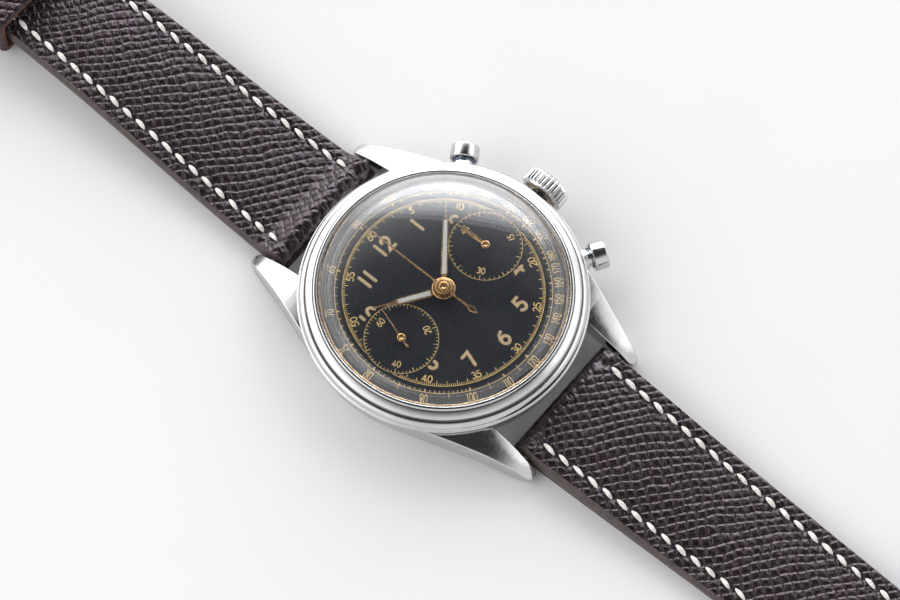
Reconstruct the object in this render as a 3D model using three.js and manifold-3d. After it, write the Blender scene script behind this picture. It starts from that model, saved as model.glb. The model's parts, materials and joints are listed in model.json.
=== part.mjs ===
// A hand-wound chronograph wristwatch on a stitched leather strap, as it comes apart on a bench.
// Millimetres. The origin is the middle of the case back's flat outer face. +Z points up through
// the crystal, +Y to 12 o'clock, and +X to 3 o'clock, where the crown is.
import * as THREE from "three";
import { mergeVertices } from "three/addons/utils/BufferGeometryUtils.js";
import Module from "manifold-3d";

const wasm = await Module();
wasm.setup();

// ---- driving dimensions ----
const bezelRadius = 19;
const caseRadius = 18.3;
const bandBottom = 1.5;
const bandTop = 5.9;
const lugGap = 19; // between the inner faces of a pair of lugs
const lugTip = { x: 11, y: 23.85, z: 1.4 };
const springBar = { y: 21.3, z: 1.9, radius: 0.75 };

const movementRadius = 13.45;
const plate = { bottom: 5.3, top: 6.3 };
const bridge = { bottom: 3, top: 3.6 };
const dial = { radius: 16, bottom: 7.1, top: 7.5 };
const subDialOffset = 8.46;
const subDialRadius = 4.95;

const stemHeight = 4.5;
const pusherAngle = THREE.MathUtils.degToRad(32.3);
const pusherTubeRadius = 1.42;
const crown = { radius: 3.15, inner: 19.5, outer: 21.9 };

const strapHalfWidthAtLugs = 9.1;
const strapHalfWidthAtEnds = 7.8;
const strapTaperStart = 22;
const strapTaperEnd = 70;
const strapThickness = 2.65;
const buckleSideLength = 75;
const tailSideLength = 115;
const fixedKeeperY = 89;
const freeKeeperY = 71.75;
const buckleBar = { y: springBar.y + buckleSideLength, z: 2.7, radius: 0.7 };
const runningGap = 0.05; // between a shaft and the hole it turns in
const roundSteps = 36; // facets round every large turned piece, so that they nest

// Axes of the movement's wheels, seen from the dial side.
const barrelAxis = [3.05, 5.28];
const thirdAxis = [-4.398, -2.16];
const fourthAxis = [-subDialOffset, 0];
const escapeAxis = [-10.2, -3.2];
const palletAxis = [-8.6, -5.6];
const balanceAxis = [-3.5, -8.3];
const minuteWheelAxis = [2.9, -2.133];
const recorderAxis = [subDialOffset, 0];
const crownWheelAxis = [10.2, 3.6];
const clickAxis = [9.3, 9];
const columnWheelAxis = [8.6, 7];
const couplingLeverAxis = [-9.6, 5.6];
const hammerAxis = [5.4, -9.6];

// ---- materials ----
const finish = (color, roughness, metalness) => () =>
  new THREE.MeshStandardMaterial({ color, roughness, metalness });
const polishedSteel = finish(0xc9cacc, 0.16, 1);
const satinSteel = finish(0xb3b5b8, 0.38, 1);
const springSteel = finish(0x8e9299, 0.3, 1);
const nickel = finish(0xc8c2b4, 0.34, 1);
const brass = finish(0xc29a55, 0.34, 1);
const gilt = finish(0xcf9d57, 0.3, 1);
const agedBrass = finish(0x9a7a55, 0.5, 0.9);
const rubber = finish(0x1c1c1d, 0.8, 0);
const dialBlack = finish(0x14181d, 0.45, 0.1);
const leather = finish(0x2a2322, 0.5, 0);
const acrylic = () =>
  new THREE.MeshStandardMaterial({
    color: 0xf4f6f8,
    roughness: 0.04,
    metalness: 0,
    transparent: true,
    opacity: 0.25,
  });

// ---- making and joining solids ----
function manifoldOf(triangles, positions) {
  return new wasm.Manifold(
    new wasm.Mesh({ numProp: 3, vertProperties: positions, triVerts: triangles }),
  );
}

// A closed geometry as a solid whose faces point out, whichever way it was wound.
function solid(geometry) {
  const bare = geometry.clone();
  bare.deleteAttribute("normal");
  bare.deleteAttribute("uv");
  const merged = mergeVertices(bare, 1e-4);
  const positions = merged.attributes.position.array;
  const triangles = new Uint32Array(merged.index.array);
  const body = manifoldOf(triangles, positions);
  if (body.volume() > 0) return body;
  for (let i = 0; i < triangles.length; i += 3) {
    [triangles[i + 1], triangles[i + 2]] = [triangles[i + 2], triangles[i + 1]];
  }
  return manifoldOf(triangles, positions);
}

function geometryOf(body) {
  const { vertProperties, triVerts } = body.getMesh();
  const geometry = new THREE.BufferGeometry();
  geometry.setAttribute("position", new THREE.BufferAttribute(vertProperties, 3));
  geometry.setIndex(new THREE.BufferAttribute(triVerts, 1));
  geometry.computeVertexNormals();
  return geometry;
}

const join = (...parts) => geometryOf(parts.map(solid).reduce((a, b) => a.add(b)));
const cut = (part, ...tools) =>
  geometryOf(tools.map(solid).reduce((a, b) => a.subtract(b), solid(part)));
const common = (a, b) => geometryOf(solid(a).intersect(solid(b)));

// ---- outlines ----
const onCircle = (radius, angle, x = 0, y = 0) => [
  x + radius * Math.cos(angle),
  y + radius * Math.sin(angle),
];

const arc = (radius, from, to, steps, x = 0, y = 0) =>
  Array.from({ length: steps + 1 }, (_, i) =>
    onCircle(radius, from + ((to - from) * i) / steps, x, y),
  );

const circle = (radius, steps = 12, x = 0, y = 0) =>
  arc(radius, 0, 2 * Math.PI, steps, x, y).slice(0, -1);

function curve(from, control, to, steps) {
  const bezier = new THREE.QuadraticBezierCurve(
    new THREE.Vector2(...from),
    new THREE.Vector2(...control),
    new THREE.Vector2(...to),
  );
  return bezier.getPoints(steps).map((p) => [p.x, p.y]);
}

const vectors = (points) => points.map((p) => new THREE.Vector2(...p));

function outline(points, holes = []) {
  const shape = new THREE.Shape(vectors(points));
  shape.holes = holes.map((hole) => new THREE.Path(vectors(hole)));
  return shape;
}

// A strip with round ends, from one point to another.
function strip([x1, y1], [x2, y2], width, steps = 6) {
  const heading = Math.atan2(y2 - y1, x2 - x1);
  const quarter = Math.PI / 2;
  return [
    ...arc(width / 2, heading - quarter, heading + quarter, steps, x2, y2),
    ...arc(width / 2, heading + quarter, heading + 3 * quarter, steps, x1, y1),
  ];
}

// ---- solids from outlines ----
function slab(points, bottom, top, holes = []) {
  const options = { depth: top - bottom, bevelEnabled: false, curveSegments: 1 };
  return new THREE.ExtrudeGeometry(outline(points, holes), options).translate(0, 0, bottom);
}

// An outline in Y and Z, swept along X.
function sideSlab(points, left, right) {
  const x = new THREE.Vector3(1, 0, 0);
  const y = new THREE.Vector3(0, 1, 0);
  const z = new THREE.Vector3(0, 0, 1);
  return slab(points, left, right).applyMatrix4(new THREE.Matrix4().makeBasis(y, z, x));
}

// A profile of [radius, height] points turned about Z. Off the axis, it closes on itself.
function turned(profile, segments = roundSteps) {
  const points = vectors(profile);
  if (profile[0][0] > 0) points.push(points[0].clone());
  return new THREE.LatheGeometry(points, segments).rotateX(Math.PI / 2);
}

function disc(radius, bottom, top, segments = 16) {
  return turned([[0, bottom], [radius, bottom], [radius, top], [0, top]], segments);
}

function ring(inner, outer, bottom, top, segments = roundSteps) {
  return turned([[inner, bottom], [outer, bottom], [outer, top], [inner, top]], segments);
}

const at = (geometry, [x, y], z = 0) => geometry.clone().translate(x, y, z);

// A piece made about Z, laid so that its axis points out of the case at an angle from 3 o'clock.
const radial = (geometry, angle = 0) =>
  geometry.clone().rotateY(Math.PI / 2).rotateZ(angle).translate(0, 0, stemHeight);

// ---- gears ----
// Pointed teeth, the first one centred on +X turned by phase.
function toothedRim(teeth, pitchRadius, phase = 0) {
  const step = (2 * Math.PI) / teeth;
  const module = (2 * pitchRadius) / teeth;
  const points = [];
  for (let i = 0; i < teeth; i++) {
    points.push(onCircle(pitchRadius + 0.8 * module, phase + i * step));
    points.push(onCircle(pitchRadius - 1.2 * module, phase + (i + 0.5) * step));
  }
  return points;
}

// The windows that leave a wheel its spokes.
function crossings(count, hub, rim) {
  const half = Math.PI / count;
  return Array.from({ length: count }, (_, i) => {
    const middle = i * 2 * half;
    const spoke = 0.2;
    return [
      ...arc(rim, middle - half + spoke, middle + half - spoke, 4),
      ...arc(hub, middle + half - 2 * spoke, middle - half + 2 * spoke, 1),
    ];
  });
}

function wheel({ teeth, radius, bottom, top, spokes = 4, hub = 0.28, phase = 0 }) {
  const windows = spokes ? crossings(spokes, hub * radius, 0.8 * radius) : [];
  return slab(toothedRim(teeth, radius, phase), bottom, top, windows);
}

const pinion = (teeth, radius, bottom, top, phase = 0) =>
  slab(toothedRim(teeth, radius, phase), bottom, top);

// ---- the watch, as a group of named meshes ----
const watch = new THREE.Group();

function addTo(group, name, geometry, material, position = [0, 0, 0], turn = 0) {
  const mesh = new THREE.Mesh(geometryOf(solid(geometry)), material());
  mesh.name = name;
  mesh.position.set(...position);
  mesh.rotation.z = turn;
  group.add(mesh);
  return mesh;
}

// ---- case ----
const caseGroup = new THREE.Group();
watch.add(caseGroup);

// One lug: its plan cut down to the curved side view.
function lug(signX, signY) {
  const inner = lugGap / 2;
  const plan = [
    [inner, 14.1],
    [inner, lugTip.y - 0.55],
    [inner + 0.4, lugTip.y],
    [lugTip.x - 0.2, lugTip.y],
    [lugTip.x, lugTip.y - 0.3],
    [14.3, 14.25],
    [17.35, 6.2],
    [16.4, 5.5],
    [13.2, 10.8],
  ];
  const side = [
    [4.5, bandBottom],
    [17.2, bandBottom],
    ...curve([17.6, 1.25], [19.4, 0.45], [23, 0.3], 3),
    [lugTip.y + 0.1, 0.5],
    ...curve([lugTip.y + 0.1, lugTip.z], [20, 5.2], [12, bandTop - 0.02], 6),
    [4.5, bandTop - 0.02],
  ];
  return common(slab(plan, 0, 7), sideSlab(side, 9, 18)).scale(signX, signY, 1);
}

function midCase() {
  const band = turned(
    [
      [14.65, bandBottom],
      [15.1, bandBottom],
      [15.1, 1.92],
      [15.9, 1.92],
      [15.9, bandBottom],
      [17.2, bandBottom],
      [17.95, 1.95],
      [caseRadius, 2.7],
      [caseRadius, bandTop],
      [17.15, bandTop],
      [17.15, 7.38],
      [16.35, 7.38],
      [16.35, 6.2],
      [14.4, 6.2],
      [14.4, 2.5],
      [14.65, 2.5],
    ],
  );
  const tubeHole = disc(pusherTubeRadius + 0.02, 13, 20, 16);
  const springBarHole = disc(0.45, lugGap / 2 - 0.5, lugGap / 2 + 1, 8);
  const barHoles = [];
  for (const y of [-springBar.y, springBar.y]) {
    for (const side of [1, -1]) {
      const hole = springBarHole.clone().rotateY((side * Math.PI) / 2);
      barHoles.push(hole.translate(0, y, springBar.z));
    }
  }
  const lugs = [lug(1, 1), lug(-1, 1), lug(-1, -1), lug(1, -1)];
  return cut(
    join(band, ...lugs),
    radial(disc(1.22, 13, 20, 16)),
    radial(tubeHole, pusherAngle),
    radial(tubeHole, -pusherAngle),
    ...barHoles,
  );
}
addTo(caseGroup, "mid_case", midCase(), polishedSteel);

// The bezel is stepped: a raised lip at the crystal, a sloping band, a small step and a shoulder.
function bezel() {
  return turned(
    [
      [17.22, 6.0],
      [18.8, 6.0],
      [bezelRadius, 6.3],
      [18.85, 6.65],
      ...curve([18.8, 6.8], [18.7, 7.55], [17.95, 7.75], 3),
      [17.85, 8.1],
      [16.95, 8.75],
      [16.7, 8.95],
      [16.3, 8.95],
      [16.3, 8.1],
      [16.65, 8.1],
      [16.65, 7.42],
      [17.22, 7.42],
    ],
  );
}
addTo(caseGroup, "bezel", bezel(), polishedSteel);

function crystal() {
  const outer = [
    [16.58, 7.46],
    [16.58, 8.02],
    [16.22, 8.06],
    [16.2, 9.1],
    ...curve([16.0, 9.6], [15.5, 10.35], [14.2, 10.6], 3),
    ...curve([11, 11.1], [5.5, 11.75], [0, 11.8], 3),
  ];
  const inner = [
    ...curve([0, 10.75], [5.5, 10.7], [11, 10.1], 2),
    [14, 9.6],
    [15.1, 8.9],
    [15.25, 8.3],
    [16.15, 8.3],
    [16.15, 7.46],
  ];
  return turned([[0, 11.8], ...outer.reverse().slice(1), ...inner.reverse()]);
}
addTo(caseGroup, "crystal", crystal(), acrylic);
addTo(caseGroup, "tension_ring", ring(15.7, 16.1, 7.54, 8.25), agedBrass);

// A shallow screwed dish with six wrench notches round its edge.
function caseBack() {
  const dish = turned([
    [0, 0],
    [14.6, 0],
    [15.6, 0.3],
    [16.6, 0.85],
    [16.6, 1.45],
    [14.55, 1.45],
    [14.55, 2.4],
    [13.9, 2.4],
    [13.9, 1.1],
    [13.4, 0.75],
    [0, 0.75],
  ]);
  const notches = Array.from({ length: 6 }, (_, i) =>
    new THREE.BoxGeometry(1.4, 2.2, 1).translate(16.1, 0, 0.1).rotateZ((i * Math.PI) / 3),
  );
  return cut(dish, ...notches);
}
addTo(caseGroup, "case_back", caseBack(), satinSteel);
addTo(caseGroup, "case_back_gasket", ring(15.15, 15.85, 1.49, 1.88), rubber);

// ---- crown, winding stem and its two pinions ----
const crownGroup = new THREE.Group();
watch.add(crownGroup);

function crownKnob() {
  const { radius, inner, outer } = crown;
  const flutes = slab(toothedRim(28, radius - 0.15), inner - 1, outer + 1);
  const envelope = turned([
    [0, inner],
    [radius - 0.5, inner],
    [radius, inner + 0.35],
    [radius, outer - 0.45],
    [radius - 0.45, outer - 0.05],
    [0, outer + 0.25],
  ], 28);
  const rim = disc(radius - 0.45, inner, inner + 0.4, 28);
  const recess = disc(1.35, inner - 1, inner + 1.1, 20);
  const stemHole = disc(0.55, inner - 1, inner + 1.8, 12);
  return radial(cut(join(common(flutes, envelope), rim), recess, stemHole));
}
addTo(crownGroup, "crown", crownKnob(), polishedSteel);
addTo(caseGroup, "crown_tube", radial(ring(0.75, 1.2, 14.6, 19.2, 16)), satinSteel);

const stemRadius = 0.5;
const windingStem = radial(
  turned([
    [0, 9.3],
    [0.32, 9.3],
    [0.32, 11.4],
    [stemRadius, 11.4],
    [stemRadius, 13.6],
    [0.34, 13.6],
    [0.34, 14],
    [stemRadius, 14],
    [stemRadius, 21.25],
    [0, 21.25],
  ], 12),
);
addTo(crownGroup, "winding_stem", windingStem, satinSteel);

// The sliding pinion has the fork's groove and faces the winding pinion with its teeth.
const slidingPinion = radial(
  turned([
    [0.37, 9.6],
    [1, 9.6],
    [1, 9.95],
    [0.7, 9.95],
    [0.7, 10.35],
    [1.05, 10.35],
    [1.05, 10.95],
    [0.37, 10.95],
  ], 18),
);
addTo(crownGroup, "sliding_pinion", slidingPinion, satinSteel);
const windingPinion = radial(
  cut(pinion(12, 1.25, 11, 12.3), disc(stemRadius + runningGap, 10, 13, 12)),
);
addTo(crownGroup, "winding_pinion", windingPinion, satinSteel);

// ---- chronograph pushers ----
const pusherGroup = new THREE.Group();
watch.add(pusherGroup);
const pusherCap = { radius: 1.93, inner: 20.2, outer: 22.2 };

function pusher() {
  const { radius, inner, outer } = pusherCap;
  const recess = 1.55;
  const stem = 1.13;
  return turned([
    [0, 13.8],
    [0.6, 13.8],
    [0.6, 15.5],
    [stem, 15.5],
    [stem, inner + 1.1],
    [recess, inner + 1.1],
    [recess, inner],
    [radius - 0.08, inner],
    [radius, inner + 0.08],
    [radius, outer - 0.15],
    [radius - 0.15, outer],
    [0, outer + 0.06],
  ], 16);
}

function coil(radius, wire, turns, from, to, stepsPerTurn = 8) {
  const steps = turns * stepsPerTurn;
  const helix = new THREE.CatmullRomCurve3(
    Array.from({ length: steps + 1 }, (_, i) => {
      const [x, y] = onCircle(radius, (i * 2 * Math.PI) / stepsPerTurn);
      return new THREE.Vector3(x, y, from + ((to - from) * i) / steps);
    }),
  );
  return new THREE.ExtrudeGeometry(outline(circle(wire, 4)), {
    extrudePath: helix,
    steps,
    bevelEnabled: false,
    curveSegments: 1,
  });
}

for (const [side, angle] of [["upper", pusherAngle], ["lower", -pusherAngle]]) {
  addTo(pusherGroup, `pusher_${side}`, radial(pusher(), angle), polishedSteel);
  const tube = ring(1.2, pusherTubeRadius, 14.6, 19.6, 16);
  addTo(caseGroup, `pusher_tube_${side}`, radial(tube, angle), satinSteel);
  const spring = coil(1.34, 0.09, 3, 19.75, 21.15);
  addTo(pusherGroup, `pusher_spring_${side}`, radial(spring, angle), springSteel);
}

// ---- movement: plate, bridges and casing ring ----
const movement = new THREE.Group();
watch.add(movement);

const pivotRadius = 0.14;
const jewelHole = (axis, bottom = plate.bottom, top = plate.top, radius = pivotRadius) =>
  at(disc(radius + runningGap, bottom - 0.2, top + 0.2, 8), axis);

function mainPlate() {
  const body = join(
    disc(movementRadius, plate.bottom, plate.top, roundSteps),
    at(disc(0.35, plate.top - 0.1, 7, 12), minuteWheelAxis),
  );
  const keylessSlot = new THREE.BoxGeometry(4.6, 3.4, 1.2).translate(11.6, 0, 5.45);
  return cut(
    body,
    keylessSlot,
    at(disc(0.62, 5, 7, 14), [0, 0]),
    at(disc(0.6, 5, 7, 14), barrelAxis),
    ...[fourthAxis, recorderAxis].map((axis) => jewelHole(axis, plate.bottom, plate.top, 0.28)),
    ...[thirdAxis, escapeAxis, palletAxis, balanceAxis].map((axis) => jewelHole(axis)),
  );
}
addTo(movement, "main_plate", mainPlate(), nickel);

function movementRing() {
  const openings = [0, pusherAngle, -pusherAngle].map((angle) =>
    radial(disc(0.8, 13, 15, 12), angle),
  );
  return cut(ring(13.6, 14.32, 2.6, 7.04), ...openings);
}
addTo(movement, "movement_ring", movementRing(), brass);

// A bridge: a flat outline on feet that reach up to the main plate.
function bridgeOn(points, feet, holes, { bottom, top } = bridge) {
  const pillars = feet.map((foot) => at(disc(0.65, top - 0.1, plate.bottom - 0.02, 12), foot));
  return cut(join(slab(points, bottom, top), ...pillars), ...holes);
}

const polar = (radius, degrees) => onCircle(radius, THREE.MathUtils.degToRad(degrees));
const sweep = (radius, from, to, steps) =>
  arc(radius, THREE.MathUtils.degToRad(from), THREE.MathUtils.degToRad(to), steps);

const barrelBridge = bridgeOn(
  [[-1.4, -1.3], [1.4, -1.3], polar(9.4, 14), ...sweep(13.2, 14, 128, 12), polar(5, 140)],
  [polar(12.4, 22), polar(12.4, 60), polar(12.2, 118)],
  [
    at(disc(0.62, 2, 4, 14), [0, 0]),
    at(disc(0.62, 2, 4, 14), barrelAxis),
    jewelHole(columnWheelAxis, 3, 3.6, 0.3),
    jewelHole(crownWheelAxis, 3, 3.6, 0.4),
    jewelHole(clickAxis, 3, 3.6, 0.3),
  ],
);
addTo(movement, "barrel_bridge", barrelBridge, nickel);

const trainBridge = bridgeOn(
  [[-1.7, -1.5], [-5.4, 5], ...sweep(13.2, 142, 214, 8), polar(8.8, 218), [-3.6, -4]],
  [polar(12.3, 150), polar(12.5, 187)],
  [thirdAxis, fourthAxis, escapeAxis, palletAxis].map((axis) => jewelHole(axis, 3, 3.6)),
);
addTo(movement, "train_bridge", trainBridge, nickel);

const cockFoot = polar(11.9, 285);
const balanceCock = bridgeOn(
  [...strip(balanceAxis, cockFoot, 2.6, 8)],
  [cockFoot],
  [jewelHole(balanceAxis, 3, 3.6)],
);
addTo(movement, "balance_cock", balanceCock, nickel);

// ---- movement: going train ----
// Each wheel is one piece with its pinion and arbor, made about its own axis.
function arbor(radius, bottom, top) {
  return turned([
    [0, bottom],
    [pivotRadius, bottom],
    [pivotRadius, bottom + 0.5],
    [radius, bottom + 0.5],
    [radius, top - 0.5],
    [pivotRadius, top - 0.5],
    [pivotRadius, top],
    [0, top],
  ], 8);
}

const mesh = {
  barrel: { teeth: 48, radius: 5.228 },
  centrePinion: { teeth: 8, radius: 0.871 },
  centre: { teeth: 48, radius: 4.355 },
  thirdPinion: { teeth: 6, radius: 0.544 },
  third: { teeth: 45, radius: 4.06 },
  fourthPinion: { teeth: 6, radius: 0.541 },
  fourth: { teeth: 48, radius: 3.236 },
  escapePinion: { teeth: 6, radius: 0.404 },
};

// The turn that puts a follower's gap where the driver has a tooth, on their line of centres.
function meshPhase(from, to, driver, driverPhase, follower) {
  const line = Math.atan2(to[1] - from[1], to[0] - from[0]);
  const driverStep = (2 * Math.PI) / driver.teeth;
  const followerStep = (2 * Math.PI) / follower.teeth;
  const offset = (line - driverPhase) / driverStep;
  const share = offset - Math.floor(offset);
  return line + Math.PI + (share + 0.5) * followerStep;
}

const centre = [0, 0];
const barrelPhase = meshPhase(centre, barrelAxis, mesh.centrePinion, 0, mesh.barrel);
const thirdPinionPhase = meshPhase(centre, thirdAxis, mesh.centre, 0, mesh.thirdPinion);
const fourthPinionPhase = meshPhase(thirdAxis, fourthAxis, mesh.third, 0, mesh.fourthPinion);
const escapePinionPhase = meshPhase(fourthAxis, escapeAxis, mesh.fourth, 0, mesh.escapePinion);

function barrelDrum() {
  const teeth = wheel({ ...mesh.barrel, bottom: 4.85, top: 5.2, spokes: 0, phase: barrelPhase });
  const drum = join(teeth, disc(4.85, 4.15, 4.9, 32));
  return cut(drum, disc(4.55, 4, 4.95, 32), disc(0.62, 4, 6, 14));
}
addTo(movement, "barrel_drum", barrelDrum(), brass, [...barrelAxis, 0]);
const barrelCover = ring(0.62, 4.85, 3.98, 4.12, 28);
addTo(movement, "barrel_cover", barrelCover, brass, [...barrelAxis, 0]);

// A flat strip wound from the arbor out to the drum's wall.
function flatSpiral(inner, outer, turns, width, bottom, top, stepsPerTurn = 14) {
  const steps = Math.round(turns * stepsPerTurn);
  const line = (offset) =>
    Array.from({ length: steps + 1 }, (_, i) => {
      const angle = (i * 2 * Math.PI) / stepsPerTurn;
      const radius = inner + ((outer - inner) * i) / steps + offset;
      return [radius * Math.cos(angle), radius * Math.sin(angle)];
    });
  return slab([...line(width / 2), ...line(-width / 2).reverse()], bottom, top);
}
const mainspring = flatSpiral(1.2, 4.35, 3.5, 0.25, 4.2, 4.8, 12);
addTo(movement, "mainspring", mainspring, springSteel, [...barrelAxis, 0]);
const barrelArbor = turned([
  [0, 2.45],
  [0.56, 2.45],
  [0.56, 4.2],
  [0.95, 4.2],
  [0.95, 4.85],
  [0.55, 4.85],
  [0.55, 5.9],
  [0, 5.9],
], 16);
addTo(movement, "barrel_arbor", barrelArbor, satinSteel, [...barrelAxis, 0]);

const ratchet = { teeth: 50, radius: 5.034 };
const crownWheel = { teeth: 23, radius: 2.316 };
const ratchetWheel = cut(
  wheel({ ...ratchet, bottom: 2.62, top: 2.95, spokes: 0 }),
  disc(0.6, 2, 4, 16),
);
addTo(movement, "ratchet_wheel", ratchetWheel, satinSteel, [...barrelAxis, 0]);
const crownWheelPhase = meshPhase(barrelAxis, crownWheelAxis, ratchet, 0, crownWheel);
const crownWheelBody = join(
  wheel({ ...crownWheel, bottom: 2.62, top: 2.95, spokes: 0, phase: crownWheelPhase }),
  disc(0.4, 2.9, 3.5, 12),
);
addTo(movement, "crown_wheel", crownWheelBody, satinSteel, [...crownWheelAxis, 0]);

// The click's beak lies in the ratchet's teeth and its post turns in the barrel bridge.
function click() {
  const [x, y] = clickAxis;
  const toRatchet = Math.atan2(barrelAxis[1] - y, barrelAxis[0] - x);
  const reach = Math.hypot(barrelAxis[0] - x, barrelAxis[1] - y) - ratchet.radius - 0.28;
  const body = slab(strip([0, 0], [reach * 0.72, 0], 0.9, 5), 2.62, 2.95);
  const beak = slab([[0.4, -0.4], [reach, -0.1], [reach, 0.08], [0.4, 0.4]], 2.62, 2.95);
  return join(body, beak, disc(0.3, 2.9, 3.5, 12)).rotateZ(toRatchet);
}
addTo(movement, "click", click(), satinSteel, [...clickAxis, 0]);

const chronoBore = disc(0.28, 0, 12, 12);
const centreWheel = cut(
  join(
    wheel({ ...mesh.centre, bottom: 3.72, top: 3.92 }),
    pinion(mesh.centrePinion.teeth, mesh.centrePinion.radius, 4.75, 5.22),
    disc(0.56, 3.1, plate.top, 16),
  ),
  chronoBore,
);
addTo(movement, "centre_wheel", centreWheel, brass);
const thirdWheel = join(
  wheel({ ...mesh.third, bottom: 4.25, top: 4.43 }),
  pinion(mesh.thirdPinion.teeth, mesh.thirdPinion.radius, 3.68, 3.98, thirdPinionPhase),
  arbor(0.3, 3.1, 5.8),
);
addTo(movement, "third_wheel", thirdWheel, brass, [...thirdAxis, 0]);
const fourthWheel = join(
  wheel({ ...mesh.fourth, bottom: 4.86, top: 5.02 }),
  pinion(mesh.fourthPinion.teeth, mesh.fourthPinion.radius, 4.2, 4.5, fourthPinionPhase),
  arbor(0.28, 3.1, 5.8),
  disc(0.24, 5, 7.66, 10),
);
addTo(movement, "fourth_wheel", fourthWheel, brass, [...fourthAxis, 0]);

// Fifteen hooked teeth lean the way that the wheel turns.
function escapeWheel() {
  const teeth = 15;
  const step = (2 * Math.PI) / teeth;
  const points = [];
  for (let i = 0; i < teeth; i++) {
    points.push(...arc(1.9, (i - 0.05) * step, (i + 0.06) * step, 1));
    points.push(onCircle(1.45, (i + 0.12) * step));
    points.push(onCircle(1.45, (i + 0.5) * step));
  }
  return join(
    slab(points, 3.86, 4, crossings(4, 0.45, 1.2)),
    pinion(mesh.escapePinion.teeth, mesh.escapePinion.radius, 4.82, 5.06, escapePinionPhase),
    arbor(0.22, 3.1, 5.8),
  );
}
addTo(movement, "escape_wheel", escapeWheel(), satinSteel, [...escapeAxis, 0]);

// A lever with a fork towards the balance and two jewelled arms that reach round the escape wheel.
function palletFork() {
  const heading = Math.atan2(balanceAxis[1] - palletAxis[1], balanceAxis[0] - palletAxis[0]);
  const lever = slab(strip([0, 0], [4.7, 0], 0.4, 3), 3.86, 4.02);
  const horns = [-1, 1].map((side) =>
    slab(strip([4.5, side * 0.12], [5.2, side * 0.34], 0.2, 3), 3.86, 4.02),
  );
  const toEscape = Math.atan2(escapeAxis[1] - palletAxis[1], escapeAxis[0] - palletAxis[0]);
  const arms = [-1, 1].map((side) =>
    slab(strip([0, 0], [1.15, side * 1.42], 0.3, 3), 3.86, 4.02).rotateZ(toEscape - heading),
  );
  return join(lever, ...horns, ...arms, arbor(0.2, 3.1, 5.8)).rotateZ(heading);
}
addTo(movement, "pallet_fork", palletFork(), satinSteel, [...palletAxis, 0]);

function balanceWheel() {
  const screws = Array.from({ length: 8 }, (_, i) =>
    disc(0.16, 3.9, 4.3, 5).rotateY(Math.PI / 2).translate(0, 0, 4.8).rotateZ((i * Math.PI) / 4),
  );
  return join(
    ring(3.55, 3.95, 4.6, 5, 24),
    slab(strip([-3.7, 0], [3.7, 0], 0.5, 3), 4.65, 4.9),
    ...screws,
    arbor(0.25, 3.1, 5.8),
  );
}
addTo(movement, "balance_wheel", balanceWheel(), brass, [...balanceAxis, 0]);
const hairspring = flatSpiral(0.42, 2.1, 3.5, 0.1, 3.64, 3.78, 10);
addTo(movement, "hairspring", hairspring, springSteel, [...balanceAxis, 0]);

// ---- motion works, under the dial ----
const cannon = { teeth: 12, radius: 0.9 };
const minuteWheel = { teeth: 36, radius: 2.7 };
const minutePinion = { teeth: 10, radius: 0.72 };
const hourWheel = { teeth: 40, radius: 2.88 };
const cannonPinion = cut(
  join(pinion(cannon.teeth, cannon.radius, 6.36, 6.78), disc(0.5, 6.5, 8.5, 14)),
  chronoBore,
);
addTo(movement, "cannon_pinion", cannonPinion, satinSteel);
const minutePhase = meshPhase(centre, minuteWheelAxis, cannon, 0, minuteWheel);
const minuteWheelBody = cut(
  join(
    wheel({ ...minuteWheel, bottom: 6.38, top: 6.58, spokes: 0, phase: minutePhase }),
    pinion(minutePinion.teeth, minutePinion.radius, 6.5, 7.02),
  ),
  disc(0.4, 6, 8, 12),
);
addTo(movement, "minute_wheel", minuteWheelBody, brass, [...minuteWheelAxis, 0]);
const hourPhase = meshPhase(minuteWheelAxis, centre, minutePinion, 0, hourWheel);
const hourWheelBody = cut(
  join(
    wheel({ ...hourWheel, bottom: 6.84, top: 7.02, spokes: 0, phase: hourPhase }),
    disc(0.82, 6.84, 8.05, 16),
  ),
  disc(0.56, 6, 9, 14),
);
addTo(movement, "hour_wheel", hourWheelBody, brass);

// ---- chronograph work, on the back of the bridges ----
const heartCam = (bottom, top) =>
  slab([...arc(0.75, -0.6 * Math.PI, 0.6 * Math.PI, 8), [-0.75, 0]], bottom, top);
const runnerWheel = join(
  wheel({ teeth: 48, radius: 4.3, bottom: 2.1, top: 2.26 }),
  heartCam(1.5, 1.8),
  disc(0.45, 1.5, 2.4, 12),
  disc(0.22, 1.1, 9.0, 10),
);
addTo(movement, "chronograph_runner", runnerWheel, brass);
const recorderWheel = join(
  wheel({ teeth: 45, radius: 3.4, bottom: 2.1, top: 2.26 }),
  heartCam(1.5, 1.8),
  disc(0.45, 1.5, 2.4, 12),
  disc(0.24, 1.1, 7.66, 10),
);
addTo(movement, "minute_recorder", recorderWheel, brass, [...recorderAxis, 0]);

function columnWheel() {
  const columns = Array.from({ length: 6 }, (_, i) =>
    slab([[1, -0.26], [1.6, -0.36], [1.6, 0.36], [1, 0.26]], 1.35, 2.25).rotateZ((i * Math.PI) / 3),
  );
  return join(
    pinion(12, 1.7, 2.2, 2.48),
    disc(1.2, 2.1, 2.4, 18),
    disc(0.3, 2.3, 3.5, 12),
    ...columns,
  );
}
addTo(movement, "column_wheel", columnWheel(), satinSteel, [...columnWheelAxis, 0]);

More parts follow.
